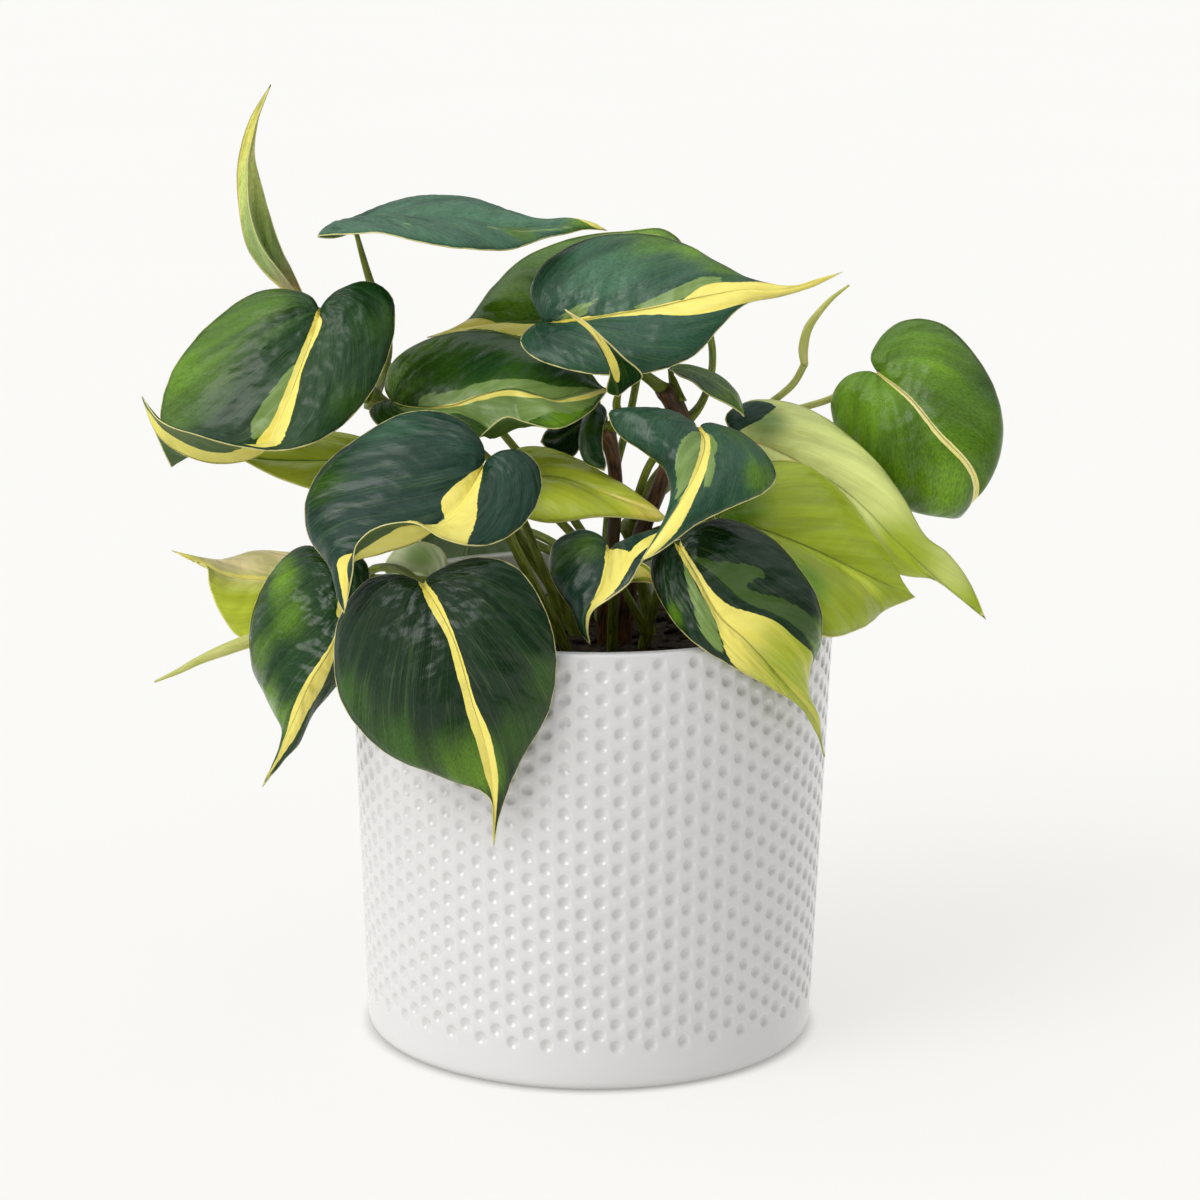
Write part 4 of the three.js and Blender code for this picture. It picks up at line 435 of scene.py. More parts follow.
# Colours of each blade, in its own coordinates: first the share of the way from base to tip, then
# the share of the way from the midrib to a margin, negative on the left. "tone" is the ground
# colour and "spots" are soft patches of (along, across, colour, reach in mm). "yellow", "sage",
# "moss" and "dark" are areas with ragged edges, and a line is given with its width in mm.
# "patch_spots" colour the yellow areas, and a crumpled leaf is glossier. FIRST is the narrow start
# of a streak at the base of a leaf.
FIRST = {"line": [(0, 0), (0.15, 0), (0.3, 0)], "width": (2.6, 1.8)}
LOOKS = {
    "front": {
        "tone": "deep",
        "spots": [(0.75, 0.5, "fresh", 10), (0.8, 0.3, "bright", 5), (0.62, 0.85, "mid", 10),
            (0.45, 0.95, "mid", 9), (0.55, -0.95, "mid", 9), (0.7, -0.7, "mid", 9)],
        "yellow": [FIRST, [(0, 0.05), (0.09, 0.1), (0.3, 0.05), (0.4, 0.03), (0.49, 0.05), (0.58, 0.05),
            (0.68, 0.09), (0.77, 0.15), (0.85, 0.28), (0.93, 0.35), (1, 0.1), (0.97, -0.44),
            (0.88, -0.36), (0.83, -0.33), (0.77, -0.22), (0.69, -0.14), (0.62, -0.05), (0.55, -0.04),
            (0.44, -0.03), (0.29, -0.05), (0.09, -0.14), (0, -0.05)]]},
    "left": {
        "tone": "dark", "crumpled": True,
        "spots": [(0.3, 0.8, "bright", 7), (0.42, 0.45, "fresh", 7), (0.55, 0.75, "fresh", 7),
            (0.72, 0.8, "bright", 8), (0.5, -0.8, "fresh", 6)],
        "yellow": [FIRST, [(0.1, 0.02), (0.38, 0), (0.49, 0.02), (0.59, 0.04), (0.66, 0.06), (0.71, 0.1),
            (0.77, 0.1), (0.84, 0.02), (0.9, -0.1), (0.98, 0.1), (1, 0), (0.95, -0.35), (0.9, -0.32),
            (0.79, -0.42), (0.7, -0.35), (0.6, -0.31), (0.52, -0.21), (0.47, -0.13), (0.3, -0.08),
            (0.1, -0.04)]]},
    "centre_left": {
        "tone": "cool", "spots": [(0.35, 0.95, "slate", 10), (0.6, 0.9, "mid", 9)],
        "yellow": [FIRST, [(0, 0.02), (0.05, 0.07), (0.25, 0.1), (0.36, 0.12), (0.47, 0.12),
            (0.53, -0.25), (0.59, -0.6), (0.65, -0.95), (0.69, -1.2), (0.5, -1.2), (0.49, -0.94),
            (0.45, -0.73), (0.4, -0.44), (0.34, -0.19), (0.22, -0.1), (0.05, -0.08), (0, -0.02)],
            [(0.53, 0), (0.56, -0.3), (0.61, -0.55), (0.67, -0.4), (0.76, -0.3), (0.86, -0.4),
            (0.92, -0.85), (0.99, -0.6), (0.98, 0.12), (0.91, 0.2), (0.85, 0.4), (0.8, 0.05),
            (0.68, 0.03)]]},
    "upper_left": {
        "tone": "dark",
        "spots": [(0.2, 0.9, "fresh", 12), (0.35, 0.85, "fresh", 13), (0.5, 0.95, "bright", 9),
            (0.5, 0.7, "fresh", 11), (0.62, 0.9, "fresh", 9), (0.25, -0.95, "mid", 8),
            (0.45, -0.95, "mid", 8)],
        "yellow": [FIRST, [(0.03, 0.06), (0.08, 0.08), (0.25, 0.04), (0.37, 0.04), (0.48, 0.04),
            (0.56, 0.04), (0.62, 0.1), (0.66, 0.05), (0.8, 0.05), (0.9, 0.05), (0.96, 0.1), (1, 0),
            (0.96, -0.4), (0.88, -0.3), (0.81, -0.2), (0.7, -0.25), (0.72, -0.95), (0.65, -0.88),
            (0.55, -0.31), (0.49, -0.17), (0.44, -0.1), (0.38, -0.04), (0.28, -0.06), (0.12, -0.15)]],
        "sage": [[(0.36, 0.02), (0.37, 0.05), (0.47, 0.12), (0.59, 0.2), (0.64, 0.1), (0.56, 0.02),
            (0.48, 0.02)]]},
    "top_left_new": {
        "tone": "olive",
        "spots": [(0.5, -0.8, "bright", 12), (0.9, 0, "butter", 14), (0.3, 0.8, "sage", 14),
            (0.1, 0, "blush", 8), (0.6, 0.6, "pale", 12)],
        "yellow": [[(0, 0.5), (0.2, 0.2), (0.5, 0.1), (0.9, 0.3), (1, 0), (0.9, -0.2), (0.5, 0.02),
            (0.2, -0.1)]]},
    "top_flat": {
        "tone": "teal",
        "spots": [(0.95, 0.3, "bright", 7), (0.2, -0.6, "slate", 12), (0.75, 0.5, "fresh", 6)],
        "yellow": [{"line": [(0.86, -0.95), (0.93, -0.7), (1, 0)], "width": (0.6, 1.4)}],
        "sage": [{"line": [(0.4, 0.75), (0.55, 0.6), (0.75, 0.5), (0.9, 0.5)], "width": (0.3, 0.9)}]},
    "top": {
        "tone": "slate",
        "spots": [(0.48, -0.92, "fresh", 8), (0.6, -0.88, "bright", 5), (0.7, -0.78, "fresh", 7),
            (0.35, -0.4, "teal", 13), (0.2, 0.5, "cool", 9)],
        "yellow": [FIRST, [(0.28, 0), (0.48, 0), (0.55, 0.02), (0.59, 0.02), (0.63, -0.06),
            (0.66, -0.17), (0.7, -0.25), (0.77, -0.3), (0.85, -1), (1, -1), (1, 1), (0.86, 0.8),
            (0.75, 1), (0.7, 0.73), (0.63, 0.5), (0.54, 0.19), (0.4, 0.06)], {"line": [(0.2, 0.01),
            (0.45, 0.01), (0.6, 0.02)], "width": (1.3, 2)}],
        "sage": [[(0.42, -0.02), (0.59, -0.14), (0.7, -0.4), (0.72, -0.28), (0.66, -0.15), (0.6, 0)],
            [(0.08, -0.02), (0.13, -0.06), (0.25, -0.15), (0.38, -0.2), (0.31, -0.12), (0.3, -0.05),
            (0.2, -0.02)]]},
    "top_back": {
        "tone": "fresh",
        "spots": [(0.3, 0.7, "bright", 12), (0.7, 0.6, "bright", 9), (0.6, -0.3, "mid", 9)],
        "yellow": [{"line": [(0.3, -0.6), (0.58, -0.5), (0.76, -0.4), (0.92, 0.3), (1, 0)],
            "width": (3.6, 6.5)}]},
    "mid_left": {
        "tone": "mid",
        "spots": [(0.14, -0.75, "bright", 9), (0.35, -0.9, "fresh", 9), (0.55, -0.4, "dark", 9),
            (0.8, -0.6, "dark", 9), (0.3, 0.8, "fresh", 10), (0.8, 0.95, "bright", 8)],
        "yellow": [{"line": [(0.1, 0.2), (0.23, 0.1), (0.38, 0), (0.51, 0), (0.68, 0.02), (0.75, 0.12),
            (0.81, 0.3), (0.86, 0.27), (0.92, 0.4), (1, 0.4)], "width": (1.2, 1.8)}],
        "sage": [[(0.15, 0.29), (0.24, -0.05), (0.32, -0.15), (0.51, -0.15), (0.66, -0.12),
            (0.76, -0.17), (0.88, -0.19), (1, -0.1), (1, 0.6), (0.92, 0.85), (0.8, 0.7), (0.68, 0.65),
            (0.54, 0.4), (0.38, 0.27), (0.22, 0.44)]]},
    "lime_left": {
        "tone": "citron", "spots": [(0.5, -0.8, "lime", 8)],
        "sage": [{"line": [(0.1, 0), (0.9, 0)], "width": (0.8, 0.5)}]},
    "far_left": {
        "tone": "citron",
        "spots": [(0.5, 0.7, "beige", 14), (0.75, 0.6, "beige", 12), (0.25, 0.5, "beige", 12)],
        "yellow": [{"line": [(0, 0), (0.5, 0.02), (1, 0)], "width": (2.2, 1.6)}]},
    "lime_centre": {
        "tone": "citron",
        "spots": [(0.95, 0, "butter", 9), (0.3, 0.7, "bright", 7), (0.15, 0, "lime", 8)],
        "yellow": [{"line": [(0.7, 0), (0.9, 0), (1, 0)], "width": (1, 3)}]},
    "centre_right": {
        "tone": "slate",
        "spots": [(0.44, -0.85, "fresh", 6), (0.6, 0.8, "cool", 8), (0.2, -0.8, "mid", 7)],
        "yellow": [FIRST, [(0.02, 0.03), (0.27, 0.04), (0.5, 0.04), (0.65, 0.06), (0.77, 0),
            (0.82, 0.04), (0.88, 0.03), (1, 0.1), (1, -1), (0.91, -0.77), (0.84, -0.69), (0.76, -0.46),
            (0.69, -0.27), (0.56, -0.15), (0.45, -0.08), (0.25, -0.08), (0.02, -0.04)]],
        "sage": [[(0.2, 0.03), (0.26, 0.08), (0.39, 0.21), (0.52, 0.38), (0.63, 0.58), (0.69, 0.35),
            (0.77, 0.12), (0.65, 0.03), (0.4, 0.02)], [(0.2, -0.06), (0.28, -0.1), (0.37, -0.16),
            (0.45, -0.16), (0.55, -0.27), (0.66, -0.42), (0.6, -0.15), (0.45, -0.06)]]},
    "small_heart": {
        "tone": "cool", "spots": [(0.5, 0.9, "mid", 6), (0.35, 0.4, "fresh", 6)],
        "yellow": [FIRST, [(0.02, 0.04), (0.11, 0.06), (0.42, 0.03), (0.55, 0.02), (0.65, 0.06),
            (0.75, -0.1), (0.77, -0.5), (0.86, -0.5), (0.94, -0.3), (1, 0), (0.96, -1), (0.88, -0.9),
            (0.8, -0.96), (0.71, -0.9), (0.62, -0.77), (0.53, -0.81), (0.45, -0.77), (0.39, -0.88),
            (0.3, -0.96), (0.29, -0.94), (0.32, -0.77), (0.37, -0.56), (0.43, -0.6), (0.29, -0.19),
            (0.1, -0.05)]]},
    "right_front": {
        "tone": "deep",
        "patch_spots": [(0.85, 0.1, "lime", 16), (0.66, -0.4, "lime", 12), (0.7, 0.3, "lime", 8),
            (0.97, 0, "bright", 8)],
        "spots": [(0.3, 0.9, "fresh", 4), (0.6, -0.9, "bright", 6)],
        "yellow": [FIRST, [(0.05, 0.02), (0.34, 0.08), (0.44, 0.1), (0.48, 0.4), (0.51, 0.95), (0.6, 1),
            (0.8, 1), (1, 1), (1, -1), (0.75, -1), (0.7, -0.85), (0.67, -0.79), (0.61, -0.5),
            (0.55, -0.38), (0.49, -0.19), (0.42, -0.08), (0.34, -0.05), (0.14, -0.06), (0.05, -0.03)]],
        "moss": [[(0.2, -0.03), (0.3, -0.12), (0.38, -0.2), (0.47, -0.27), (0.54, -0.42), (0.6, -0.65),
            (0.64, -0.9), (0.57, -0.85), (0.52, -0.66), (0.46, -0.45), (0.42, -0.34), (0.4, -0.42),
            (0.42, -0.62), (0.36, -0.5), (0.33, -0.3), (0.26, -0.14)]],
        "sage": [[(0.2, 0.04), (0.25, 0.15), (0.34, 0.35), (0.38, 0.6), (0.42, 0.77), (0.49, 0.85),
            (0.48, 0.4), (0.44, 0.1), (0.34, 0.08)]]},
    "lime_right": {
        "tone": "lime",
        "spots": [(0.15, 0, "fresh", 10), (0.2, -0.6, "bright", 12), (0.5, 0.5, "bright", 9),
            (0.75, 0.4, "citron", 8)],
        "yellow": [{"line": [(0.3, -1), (0.6, -1), (0.95, -1)], "width": (1.2, 2)}]},
    "pale_right": {
        "tone": "pale",
        "spots": [(0.75, 0.3, "lime", 14), (0.97, 0, "lime", 12), (0.2, -0.4, "sage", 8)],
        "dark": [[(0, -0.05), (0.04, -1), (0.12, -1), (0.23, -0.79), (0.2, -0.56), (0.17, -0.4),
            (0.12, -0.27), (0.07, -0.12)]],
        "yellow": [{"line": [(0.12, 0), (0.25, 0), (0.4, 0)], "width": (1.2, 0.4)}],
        "patch_spots": [(0.2, 0, "cream", 20)]},
    "far_right": {
        "tone": "fresh",
        "spots": [(0.3, 0.5, "bright", 15), (0.55, -0.9, "mid", 7), (0.35, -0.5, "bright", 10),
            (0.75, 0.4, "bright", 12)],
        "yellow": [{"line": [(0, 0), (0.5, 0), (0.97, 0)], "width": (0.8, 2.2)}],
        "patch_spots": [(0.2, 0, "cream", 20), (0.5, 0, "cream", 20), (0.8, 0, "cream", 20)]},
    "small_dark": {
        "tone": "fresh", "spots": [(0.5, 0.6, "mid", 6)],
        "sage": [{"line": [(0.1, 0), (0.9, 0)], "width": (0.7, 0.4)}]},
    "top_new": {
        "tone": "dark", "spots": [(0.95, 0, "blush", 6), (0.8, 0.5, "blush", 5)],
        "yellow": [[(0.3, 0.1), (0.4, 0.3), (0.6, 0.7), (0.75, 0.9), (0.9, 0.9), (1, 0), (0.8, -0.3),
            (0.5, -0.1)]]},
    "dark_curl": {"tone": "dark", "spots": [(0.5, 0.5, "mid", 5)]},
    "dark_inner": {"tone": "deep"},
    "back_low_left": {
        "tone": "deep", "yellow": [{"line": [(0.72, 0), (0.86, 0), (1, 0)], "width": (1, 6)}]},
    "pale_back": {"tone": "mist", "spots": [(0.5, 0.5, "sage", 6)]},
    "tip_yellow": {
        "tone": "lime", "spots": [(1, 0, "gold", 6)],
        "yellow": [[(0.2, 0.6), (0.6, 0.8), (1, 0), (0.7, -0.8), (0.3, -0.3)]]},
}

# Scales of a leaf's patterns, in cycles per mm across and along its veins, and shifts of the noise
PATTERNS = {"cloud": [(0.14, 0.035, 1), (1, 9, 4)], "broad": [(0.45, 0.05, 1), (7, 3, 1)],
            "fine": [(1.2, 0.09, 1), (0, 0, 0)], "hair": [(0.7, 0.03, 1), (5, 5, 5)],
            "fleck": [(2.4, 1.3, 1), (3, 1, 8)], "crinkle": [(0.1, 0.16, 1), (2, 6, 3)]}


class Track:
    """A centripetal Catmull-Rom curve by arc length, which also carries a fourth value of its points."""

    def __init__(self, points, missing=0.0):
        corners = np.array([point[:3] for point in points], float)
        self.corners = np.vstack([2 * corners[0] - corners[1], corners, 2 * corners[-1] - corners[-2]])
        self.values = np.array([point[3] if len(point) > 3 else missing for point in points], float)
        self.spans = len(points) - 1
        self.table = np.linspace(0, 1, 401)
        steps = np.linalg.norm(np.diff(self.raw(self.table), axis=0), axis=1)
        self.lengths = np.concatenate([[0], np.cumsum(steps)])
        self.length = self.lengths[-1]

    def raw(self, share):
        place = np.clip(np.asarray(share, float), 0, 1) * self.spans
        index = np.minimum(place.astype(int), self.spans - 1)
        local = (place - index)[:, None]
        p0, p1, p2, p3 = (self.corners[index + k] for k in range(4))
        pairs = ((p0, p1), (p1, p2), (p2, p3))
        d0, d1, d2 = (np.sqrt(np.linalg.norm(b - a, axis=1))[:, None] for a, b in pairs)
        m1 = ((p1 - p0) / d0 - (p2 - p0) / (d0 + d1) + (p2 - p1) / d1) * d1
        m2 = ((p2 - p1) / d1 - (p3 - p1) / (d1 + d2) + (p3 - p2) / d2) * d1
        cubic = 2 * p1 - 2 * p2 + m1 + m2
        square = -3 * p1 + 3 * p2 - 2 * m1 - m2
        return p1 + local * (m1 + local * (square + local * cubic))

    def share(self, along):
        return np.interp(np.asarray(along, float) * self.length, self.lengths, self.table)

    def points(self, along):
        return self.raw(self.share(along))

    def tangents(self, along):
        along = np.asarray(along, float)
        return unit(self.points(np.minimum(along + 1e-4, 1)) - self.points(np.maximum(along - 1e-4, 0)))

    def values_at(self, along):
        return np.interp(self.share(along) * self.spans, np.arange(self.spans + 1), self.values)


def unit(vectors):
    return vectors / np.maximum(np.linalg.norm(vectors, axis=-1, keepdims=True), 1e-12)


def smooth(value, low, high):
    share = np.clip((value - low) / (high - low), 0, 1)
    return share * share * (3 - 2 * share)


def band(first, second):
    """Faces between two rings of points, which are lists of indices."""
    return list(zip(first, first[1:] + first[:1], second[1:] + second[:1], second))


def placed(name, data):
    """A new object of the scene, at the origin."""
    made = bpy.data.objects.new(name, data)
    bpy.context.scene.collection.objects.link(made)
    return made


def mesh_piece(name, points, faces, material, node, attributes=None):
    """A smooth-shaded mesh from points in millimetres, which stands for a CAD node on the root body."""
    mesh = bpy.data.meshes.new(name)
    mesh.from_pydata((np.asarray(points) * MM).tolist(), [], [list(map(int, face)) for face in faces])
    mesh.polygons.foreach_set("use_smooth", [True] * len(mesh.polygons))
    kinds = {1: ("FLOAT", "value"), 3: ("FLOAT_VECTOR", "vector"), 4: ("FLOAT_COLOR", "color")}
    for key, values in (attributes or {}).items():
        kind, field = kinds[np.shape(values)[1] if np.ndim(values) > 1 else 1]
        layer = mesh.attributes.new(key, kind, "POINT")
        layer.data.foreach_set(field, np.asarray(values, np.float32).ravel())
    mesh.materials.append(material)
    mesh.update()
    piece = placed(name, mesh)
    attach(piece, "root")
    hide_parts(node)


class Nodes:
    """Short calls for the nodes of one tree."""

    def __init__(self, owner):
        owner.use_nodes = True
        self.tree = owner.node_tree

    def node(self, kind, settings=None, **values):
        made = self.tree.nodes.new("ShaderNode" + kind)
        for key, value in (settings or {}).items():
            setattr(made, key, value)
        for key, value in values.items():
            self.put(made.inputs[int(key[1:]) if key[1:].isdigit() else key], value)
        return made

    def put(self, socket, value):
        if isinstance(value, bpy.types.NodeSocket):
            self.tree.links.new(value, socket)
        else:
            socket.default_value = value

    def math(self, operation, *values):
        made = self.node("Math", {"operation": operation})
        for socket, value in zip(made.inputs, values):
            self.put(socket, value)
        return made.outputs[0]

    def stretch(self, vector, scale, shift):
        made = self.node("VectorMath", {"operation": "MULTIPLY_ADD"}, _0=vector, _1=scale, _2=shift)
        return made.outputs[0]

    def mix(self, share, first, second, blend="MIX"):
        made = self.node("Mix", {"data_type": "RGBA", "blend_type": blend}, _0=share, _6=first, _7=second)
        return made.outputs[2]

    def scaled(self, colour, share):
        grey = self.node("CombineXYZ", X=share, Y=share, Z=share).outputs[0]
        return self.mix(1.0, colour, grey, "MULTIPLY")

    def step(self, value, low, high, start=0.0, end=1.0):
        made = self.node("MapRange", {"interpolation_type": "SMOOTHSTEP"}, _0=value, _1=low, _2=high,
                         _3=start, _4=end)
        return made.outputs[0]

    def noise(self, vector, scale=1.0, detail=2.0, rough=0.5):
        return self.node("TexNoise", Vector=vector, Scale=scale, Detail=detail, Roughness=rough).outputs[0]

    def attribute(self, name, output="Vector"):
        return self.node("Attribute", {"attribute_name": name}).outputs[output]

    def place(self):
        return self.node("NewGeometry").outputs["Position"]

    def parts(self, vector):
        return self.node("SeparateXYZ", Vector=vector).outputs

    def bump(self, height, strength, distance, normal=None):
        made = self.node("Bump", Strength=strength, Distance=distance, Height=height)
        if normal:
            self.put(made.inputs["Normal"], normal)
        return made.outputs[0]


class Shader(Nodes):
    """The nodes of one Principled material."""

    def __init__(self, name, **fixed):
        self.material = bpy.data.materials.new(name)
        super().__init__(self.material)
        self.surface = self.tree.nodes["Principled BSDF"].inputs
        for socket, value in fixed.items():
            self.surface[socket.replace("_", " ")].default_value = value

    def finish(self, colour, roughness, normal=None):
        self.put(self.surface["Base Color"], colour)
        self.put(self.surface["Roughness"], roughness)
        if normal:
            self.put(self.surface["Normal"], normal)
        return self.material


def blade_material(name):
    """Variegated leaf: areas of colour with torn edges, fine pale veins and a pale margin."""
    s = Shader(name, IOR=1.45, Specular_IOR_Level=0.38)
    vein = s.attribute("vein")
    yellow_mm, sage_mm, moss_mm = s.parts(s.attribute("areas"))
    rim_mm, rib_mm, dark_mm = s.parts(s.attribute("edges"))
    under, glow, calm = s.parts(s.attribute("sides"))

    def pattern(kind, detail, rough=0.5):
        return s.noise(s.stretch(vein, *PATTERNS[kind]), 1.0, detail, rough)

    cloud, broad, fine = pattern("cloud", 3.0), pattern("broad", 2.0), pattern("fine", 3.0)
    hair, fleck, crinkle = pattern("hair", 1.5), pattern("fleck", 3.0, 0.6), pattern("crinkle", 1.6)
    torn = s.math("MULTIPLY_ADD", fine, 2.0, s.math("MULTIPLY_ADD", broad, 4.0, -3.0))

    def region(millimetres, wander, soft=0.14):
        return s.step(s.math("MULTIPLY_ADD", torn, wander, millimetres), -soft, soft)

    lit = s.math("MULTIPLY_ADD", cloud, 1.0, s.math("MULTIPLY_ADD", fine, 0.12, glow))
    green = s.mix(s.step(lit, 0.75, 1.65), s.attribute("tone", "Color"), s.attribute("spot", "Color"))
    green = s.scaled(green, s.step(cloud, 0.3, 0.7, 0.8, 1.15))
    flecked = s.scaled(green, s.step(fleck, 0.32, 0.7, 0.74, 1.28))
    green = s.mix(calm, flecked, s.scaled(green, s.step(fine, 0.3, 0.7, 0.94, 1.05)))
    green = s.mix(region(dark_mm, 0.35), green, COLOURS["cool"])
    thread = s.step(s.math("ABSOLUTE", s.math("SUBTRACT", hair, 0.5)), 0.0, 0.035, 0.13, 0.0)
    thread = s.math("MULTIPLY", thread, s.step(broad, 0.36, 0.6, 0.3, 1.0))
    paler = s.mix(0.3, green, COLOURS["sage"])
    green = s.mix(thread, green, COLOURS["sage"])
    green = s.mix(s.step(rib_mm, 0.25, 0.7, 0.7, 0.0), green, paler)

    sage = s.mix(s.step(fine, 0.35, 0.65), s.mix(0.35, COLOURS["sage"], COLOURS["fresh"]), COLOURS["sage"])
    colour = s.mix(s.math("MULTIPLY", region(sage_mm, 0.6, 0.2), 0.9), green, sage)
    yellow = s.mix(s.step(broad, 0.4, 0.7, 0.0, 0.5), s.attribute("patch", "Color"), COLOURS["butter"])
    yellow = s.mix(s.step(hair, 0.5, 0.75, 0.0, 0.25), yellow, COLOURS["cream"])
    colour = s.mix(region(yellow_mm, 0.16, 0.1), colour, yellow)
    colour = s.mix(s.math("MULTIPLY", region(moss_mm, 0.6), 0.9), colour, COLOURS["moss"])
    colour = s.mix(s.step(rim_mm, 0.6, 1.6, 0.25, 0.0), colour, s.mix(0.6, colour, COLOURS["deep"]))
    margin = s.step(s.math("MULTIPLY_ADD", fine, 0.2, rim_mm), 0.3, 0.52, 0.8, 0.0)
    colour = s.mix(margin, colour, COLOURS["cream"])
    colour = s.mix(s.math("MULTIPLY", under, 0.7), colour, s.mix(0.3, colour, COLOURS["sage"]))

    roughness = s.math("MULTIPLY_ADD", under, 0.15, s.step(cloud, 0.3, 0.7, 0.21, 0.34))
    roughness = s.math("SUBTRACT", roughness, s.step(calm, -1.0, 0.0, 0.08, 0.0))
    crinkle = s.math("MULTIPLY", crinkle, s.step(calm, -1.0, 0.0, 1.8, 1.0))
    quilted = s.bump(crinkle, 0.7, 0.0024, s.bump(fleck, 0.25, 0.00025))
    veined = s.bump(s.math("MULTIPLY_ADD", hair, 0.35, fine), 0.3, 0.00018, quilted)
    return s.finish(colour, roughness, veined)


class Blade:
    """The middle surface of a leaf blade, as the solid has it."""

    def __init__(self, leaf):
        self.rib = Track(leaf["rib"])
        base, tip = ([*leaf["rib"][end], 0] for end in (0, -1))
        arch = leaf.get("arch", BLADE["arch"])
        self.margins = {side: Track([base, *leaf[side], tip], arch) for side in ("left", "right")}

    def root(self, along):
        """The points of the midrib where rows of the blade start."""
        foot = along ** BLADE["rib_pull"]
        return self.rib.points(foot), self.rib.tangents(foot)

    def half(self, side, along, across):
        """Points at the shares along and across one half."""
        root, tangent = self.root(along)
        out = self.margins[side].points(along) - root
        normal = unit(np.cross(tangent, out)) * (1 if side == "left" else -1)
        share = np.minimum(1, np.linalg.norm(out, axis=1) / BLADE["full_arch"])
        lift = self.margins[side].values_at(along) * share * 4 * across * (1 - across)
        return root + out * across[:, None] + normal * lift[:, None]

    def points(self, along, across):
        along, across = np.asarray(along, float), np.asarray(across, float)
        left = self.half("left", along, np.abs(across))
        right = self.half("right", along, np.abs(across))
        return np.where((across < 0)[:, None], left, right)

    def seat(self, behind):
        """The place under the base of the blade where a stalk ends."""
        row = np.array([STEM["seat_row"]])
        root, tangent = self.root(row)
        left, right = (np.cross(tangent, margin.points(row) - root) for margin in self.margins.values())
        base = self.rib.points([STEM["inset"] / self.rib.length])[0]
        return base - unit(unit(left)[0] - unit(right)[0]) * behind


def rounded(corners, closed):
    """A line of corners with every corner cut off twice."""
    for _ in range(2):
        ahead = np.roll(corners, -1, axis=0) if closed else corners[1:]
        here = corners if closed else corners[:-1]
        cuts = np.stack([0.75 * here + 0.25 * ahead, 0.25 * here + 0.75 * ahead], axis=1).reshape(-1, 2)
        corners = cuts if closed else np.vstack([corners[:1], cuts, corners[-1:]])
    return corners


def area_distance(blade, area, points, along, across):
    """Millimetres from each point into an area or a line of a blade, negative outside it."""
    line = isinstance(area, dict)
    corners = rounded(np.array(area["line"] if line else area, float), not line)
    if not line:
        corners = np.vstack([corners, corners[:1]])
    spans = len(corners) - 1
    shares = np.linspace(0, spans, 160 if line else 6 * spans + 1)
    track = [np.interp(shares, np.arange(spans + 1), corners[:, k]) for k in (0, 1)]
    apart = np.linalg.norm(points[:, None] - blade.points(*track)[None], axis=2)
    if line:
        width = np.interp(shares, [0, spans], area["width"])
        return (width[None] / 2 - apart).max(axis=1)
    inside = np.zeros(len(points), bool)
    for (a0, c0), (a1, c1) in zip(corners[:-1], corners[1:]):
        crossed = (c0 > across) != (c1 > across)
        reach = a0 + (across - c0) * (a1 - a0) / (c1 - c0 if c1 != c0 else 1)
        inside ^= crossed & (along < reach)
    return np.where(inside, 1, -1) * apart.min(axis=1)


def unseen_look(seed):
    """Colours of a leaf that the camera doesn't see, with a central streak of its own."""
    chance = random.Random(seed)
    left, right = [], []
    for along in (0.04, 0.2, 0.35, 0.5, 0.65, 0.8, 0.95):
        left.append((along, -chance.uniform(0.03, 0.34)))
        right.append((along, chance.uniform(0.03, 0.34)))
    return {"tone": "mid", "yellow": [left + [(1, 0)] + right[::-1]],
            "spots": [(0.4, 0.8, "bright", 10), (0.6, -0.8, "dark", 12)]}


def surface_normals(points, faces):
    corners = points[faces]
    normals = np.cross(corners[:, 1] - corners[:, 0], corners[:, 2] - corners[:, 0])
    total = np.zeros_like(points)
    for k in range(3):
        np.add.at(total, faces[:, k], normals)
    return unit(total)


def blade_grid():
    """Shares along and across a blade, row by row and then for its base and tip, and the faces between."""
    rows, columns = BLADE["rows"], BLADE["columns"]
    steps = np.arange(1, columns + 1) / columns
    half = BLADE["spacing"] * steps + (1 - BLADE["spacing"]) * steps ** 2
    half[-1] = 1
    shares = np.concatenate([-half[::-1], [0], half])
    width = len(shares)
    along = np.append(np.repeat(np.arange(1, rows) / rows, width), [0, 1])
    across = np.append(np.tile(shares, rows - 1), [0, 0])
    base, tip = len(along) - 2, len(along) - 1
    faces = []
    for row in range(rows - 2):
        for a in range(row * width, row * width + width - 1):
            faces += [(a, a + 1, a + width + 1), (a, a + width + 1, a + width)]
    last = (rows - 2) * width
    for column in range(width - 1):
        faces += [(base, column + 1, column), (tip, last + column, last + column + 1)]
    return along, across, np.array(faces)


def relief(middle, vein, rim, rib, along, seed):
    """Heights of the quilting between veins and of slow waves, which end at the base and the tip."""
    def swell(size, shift):
        return np.array([noise.noise(Vector(point) / size + Vector(shift)) for point in middle])

    base, tip = RELIEF["ends"]
    window = smooth(rim, 0, RELIEF["flat_rim"]) * smooth(rib, *RELIEF["flat_rib"])
    phase = TURN * vein / RELIEF["gap"] + np.sin(vein * RELIEF["bend"] + seed)
    waves = RELIEF["wave"] * swell(RELIEF["wave_size"], (seed * 3.1, 0, 0))
    waves = waves * smooth(rib, 0, RELIEF["wave_rib"])
    ripples = RELIEF["ripple"] * swell(RELIEF["ripple_size"], (0, seed * 2.3, 0))
    ripples = ripples * (1 - smooth(rim, 0, RELIEF["ripple_rim"]))
    lift = RELIEF["ridge"] * np.sin(phase) * window + (waves + ripples)
    return lift * (smooth(along, 0, base) * (1 - smooth(along, tip, 1)))


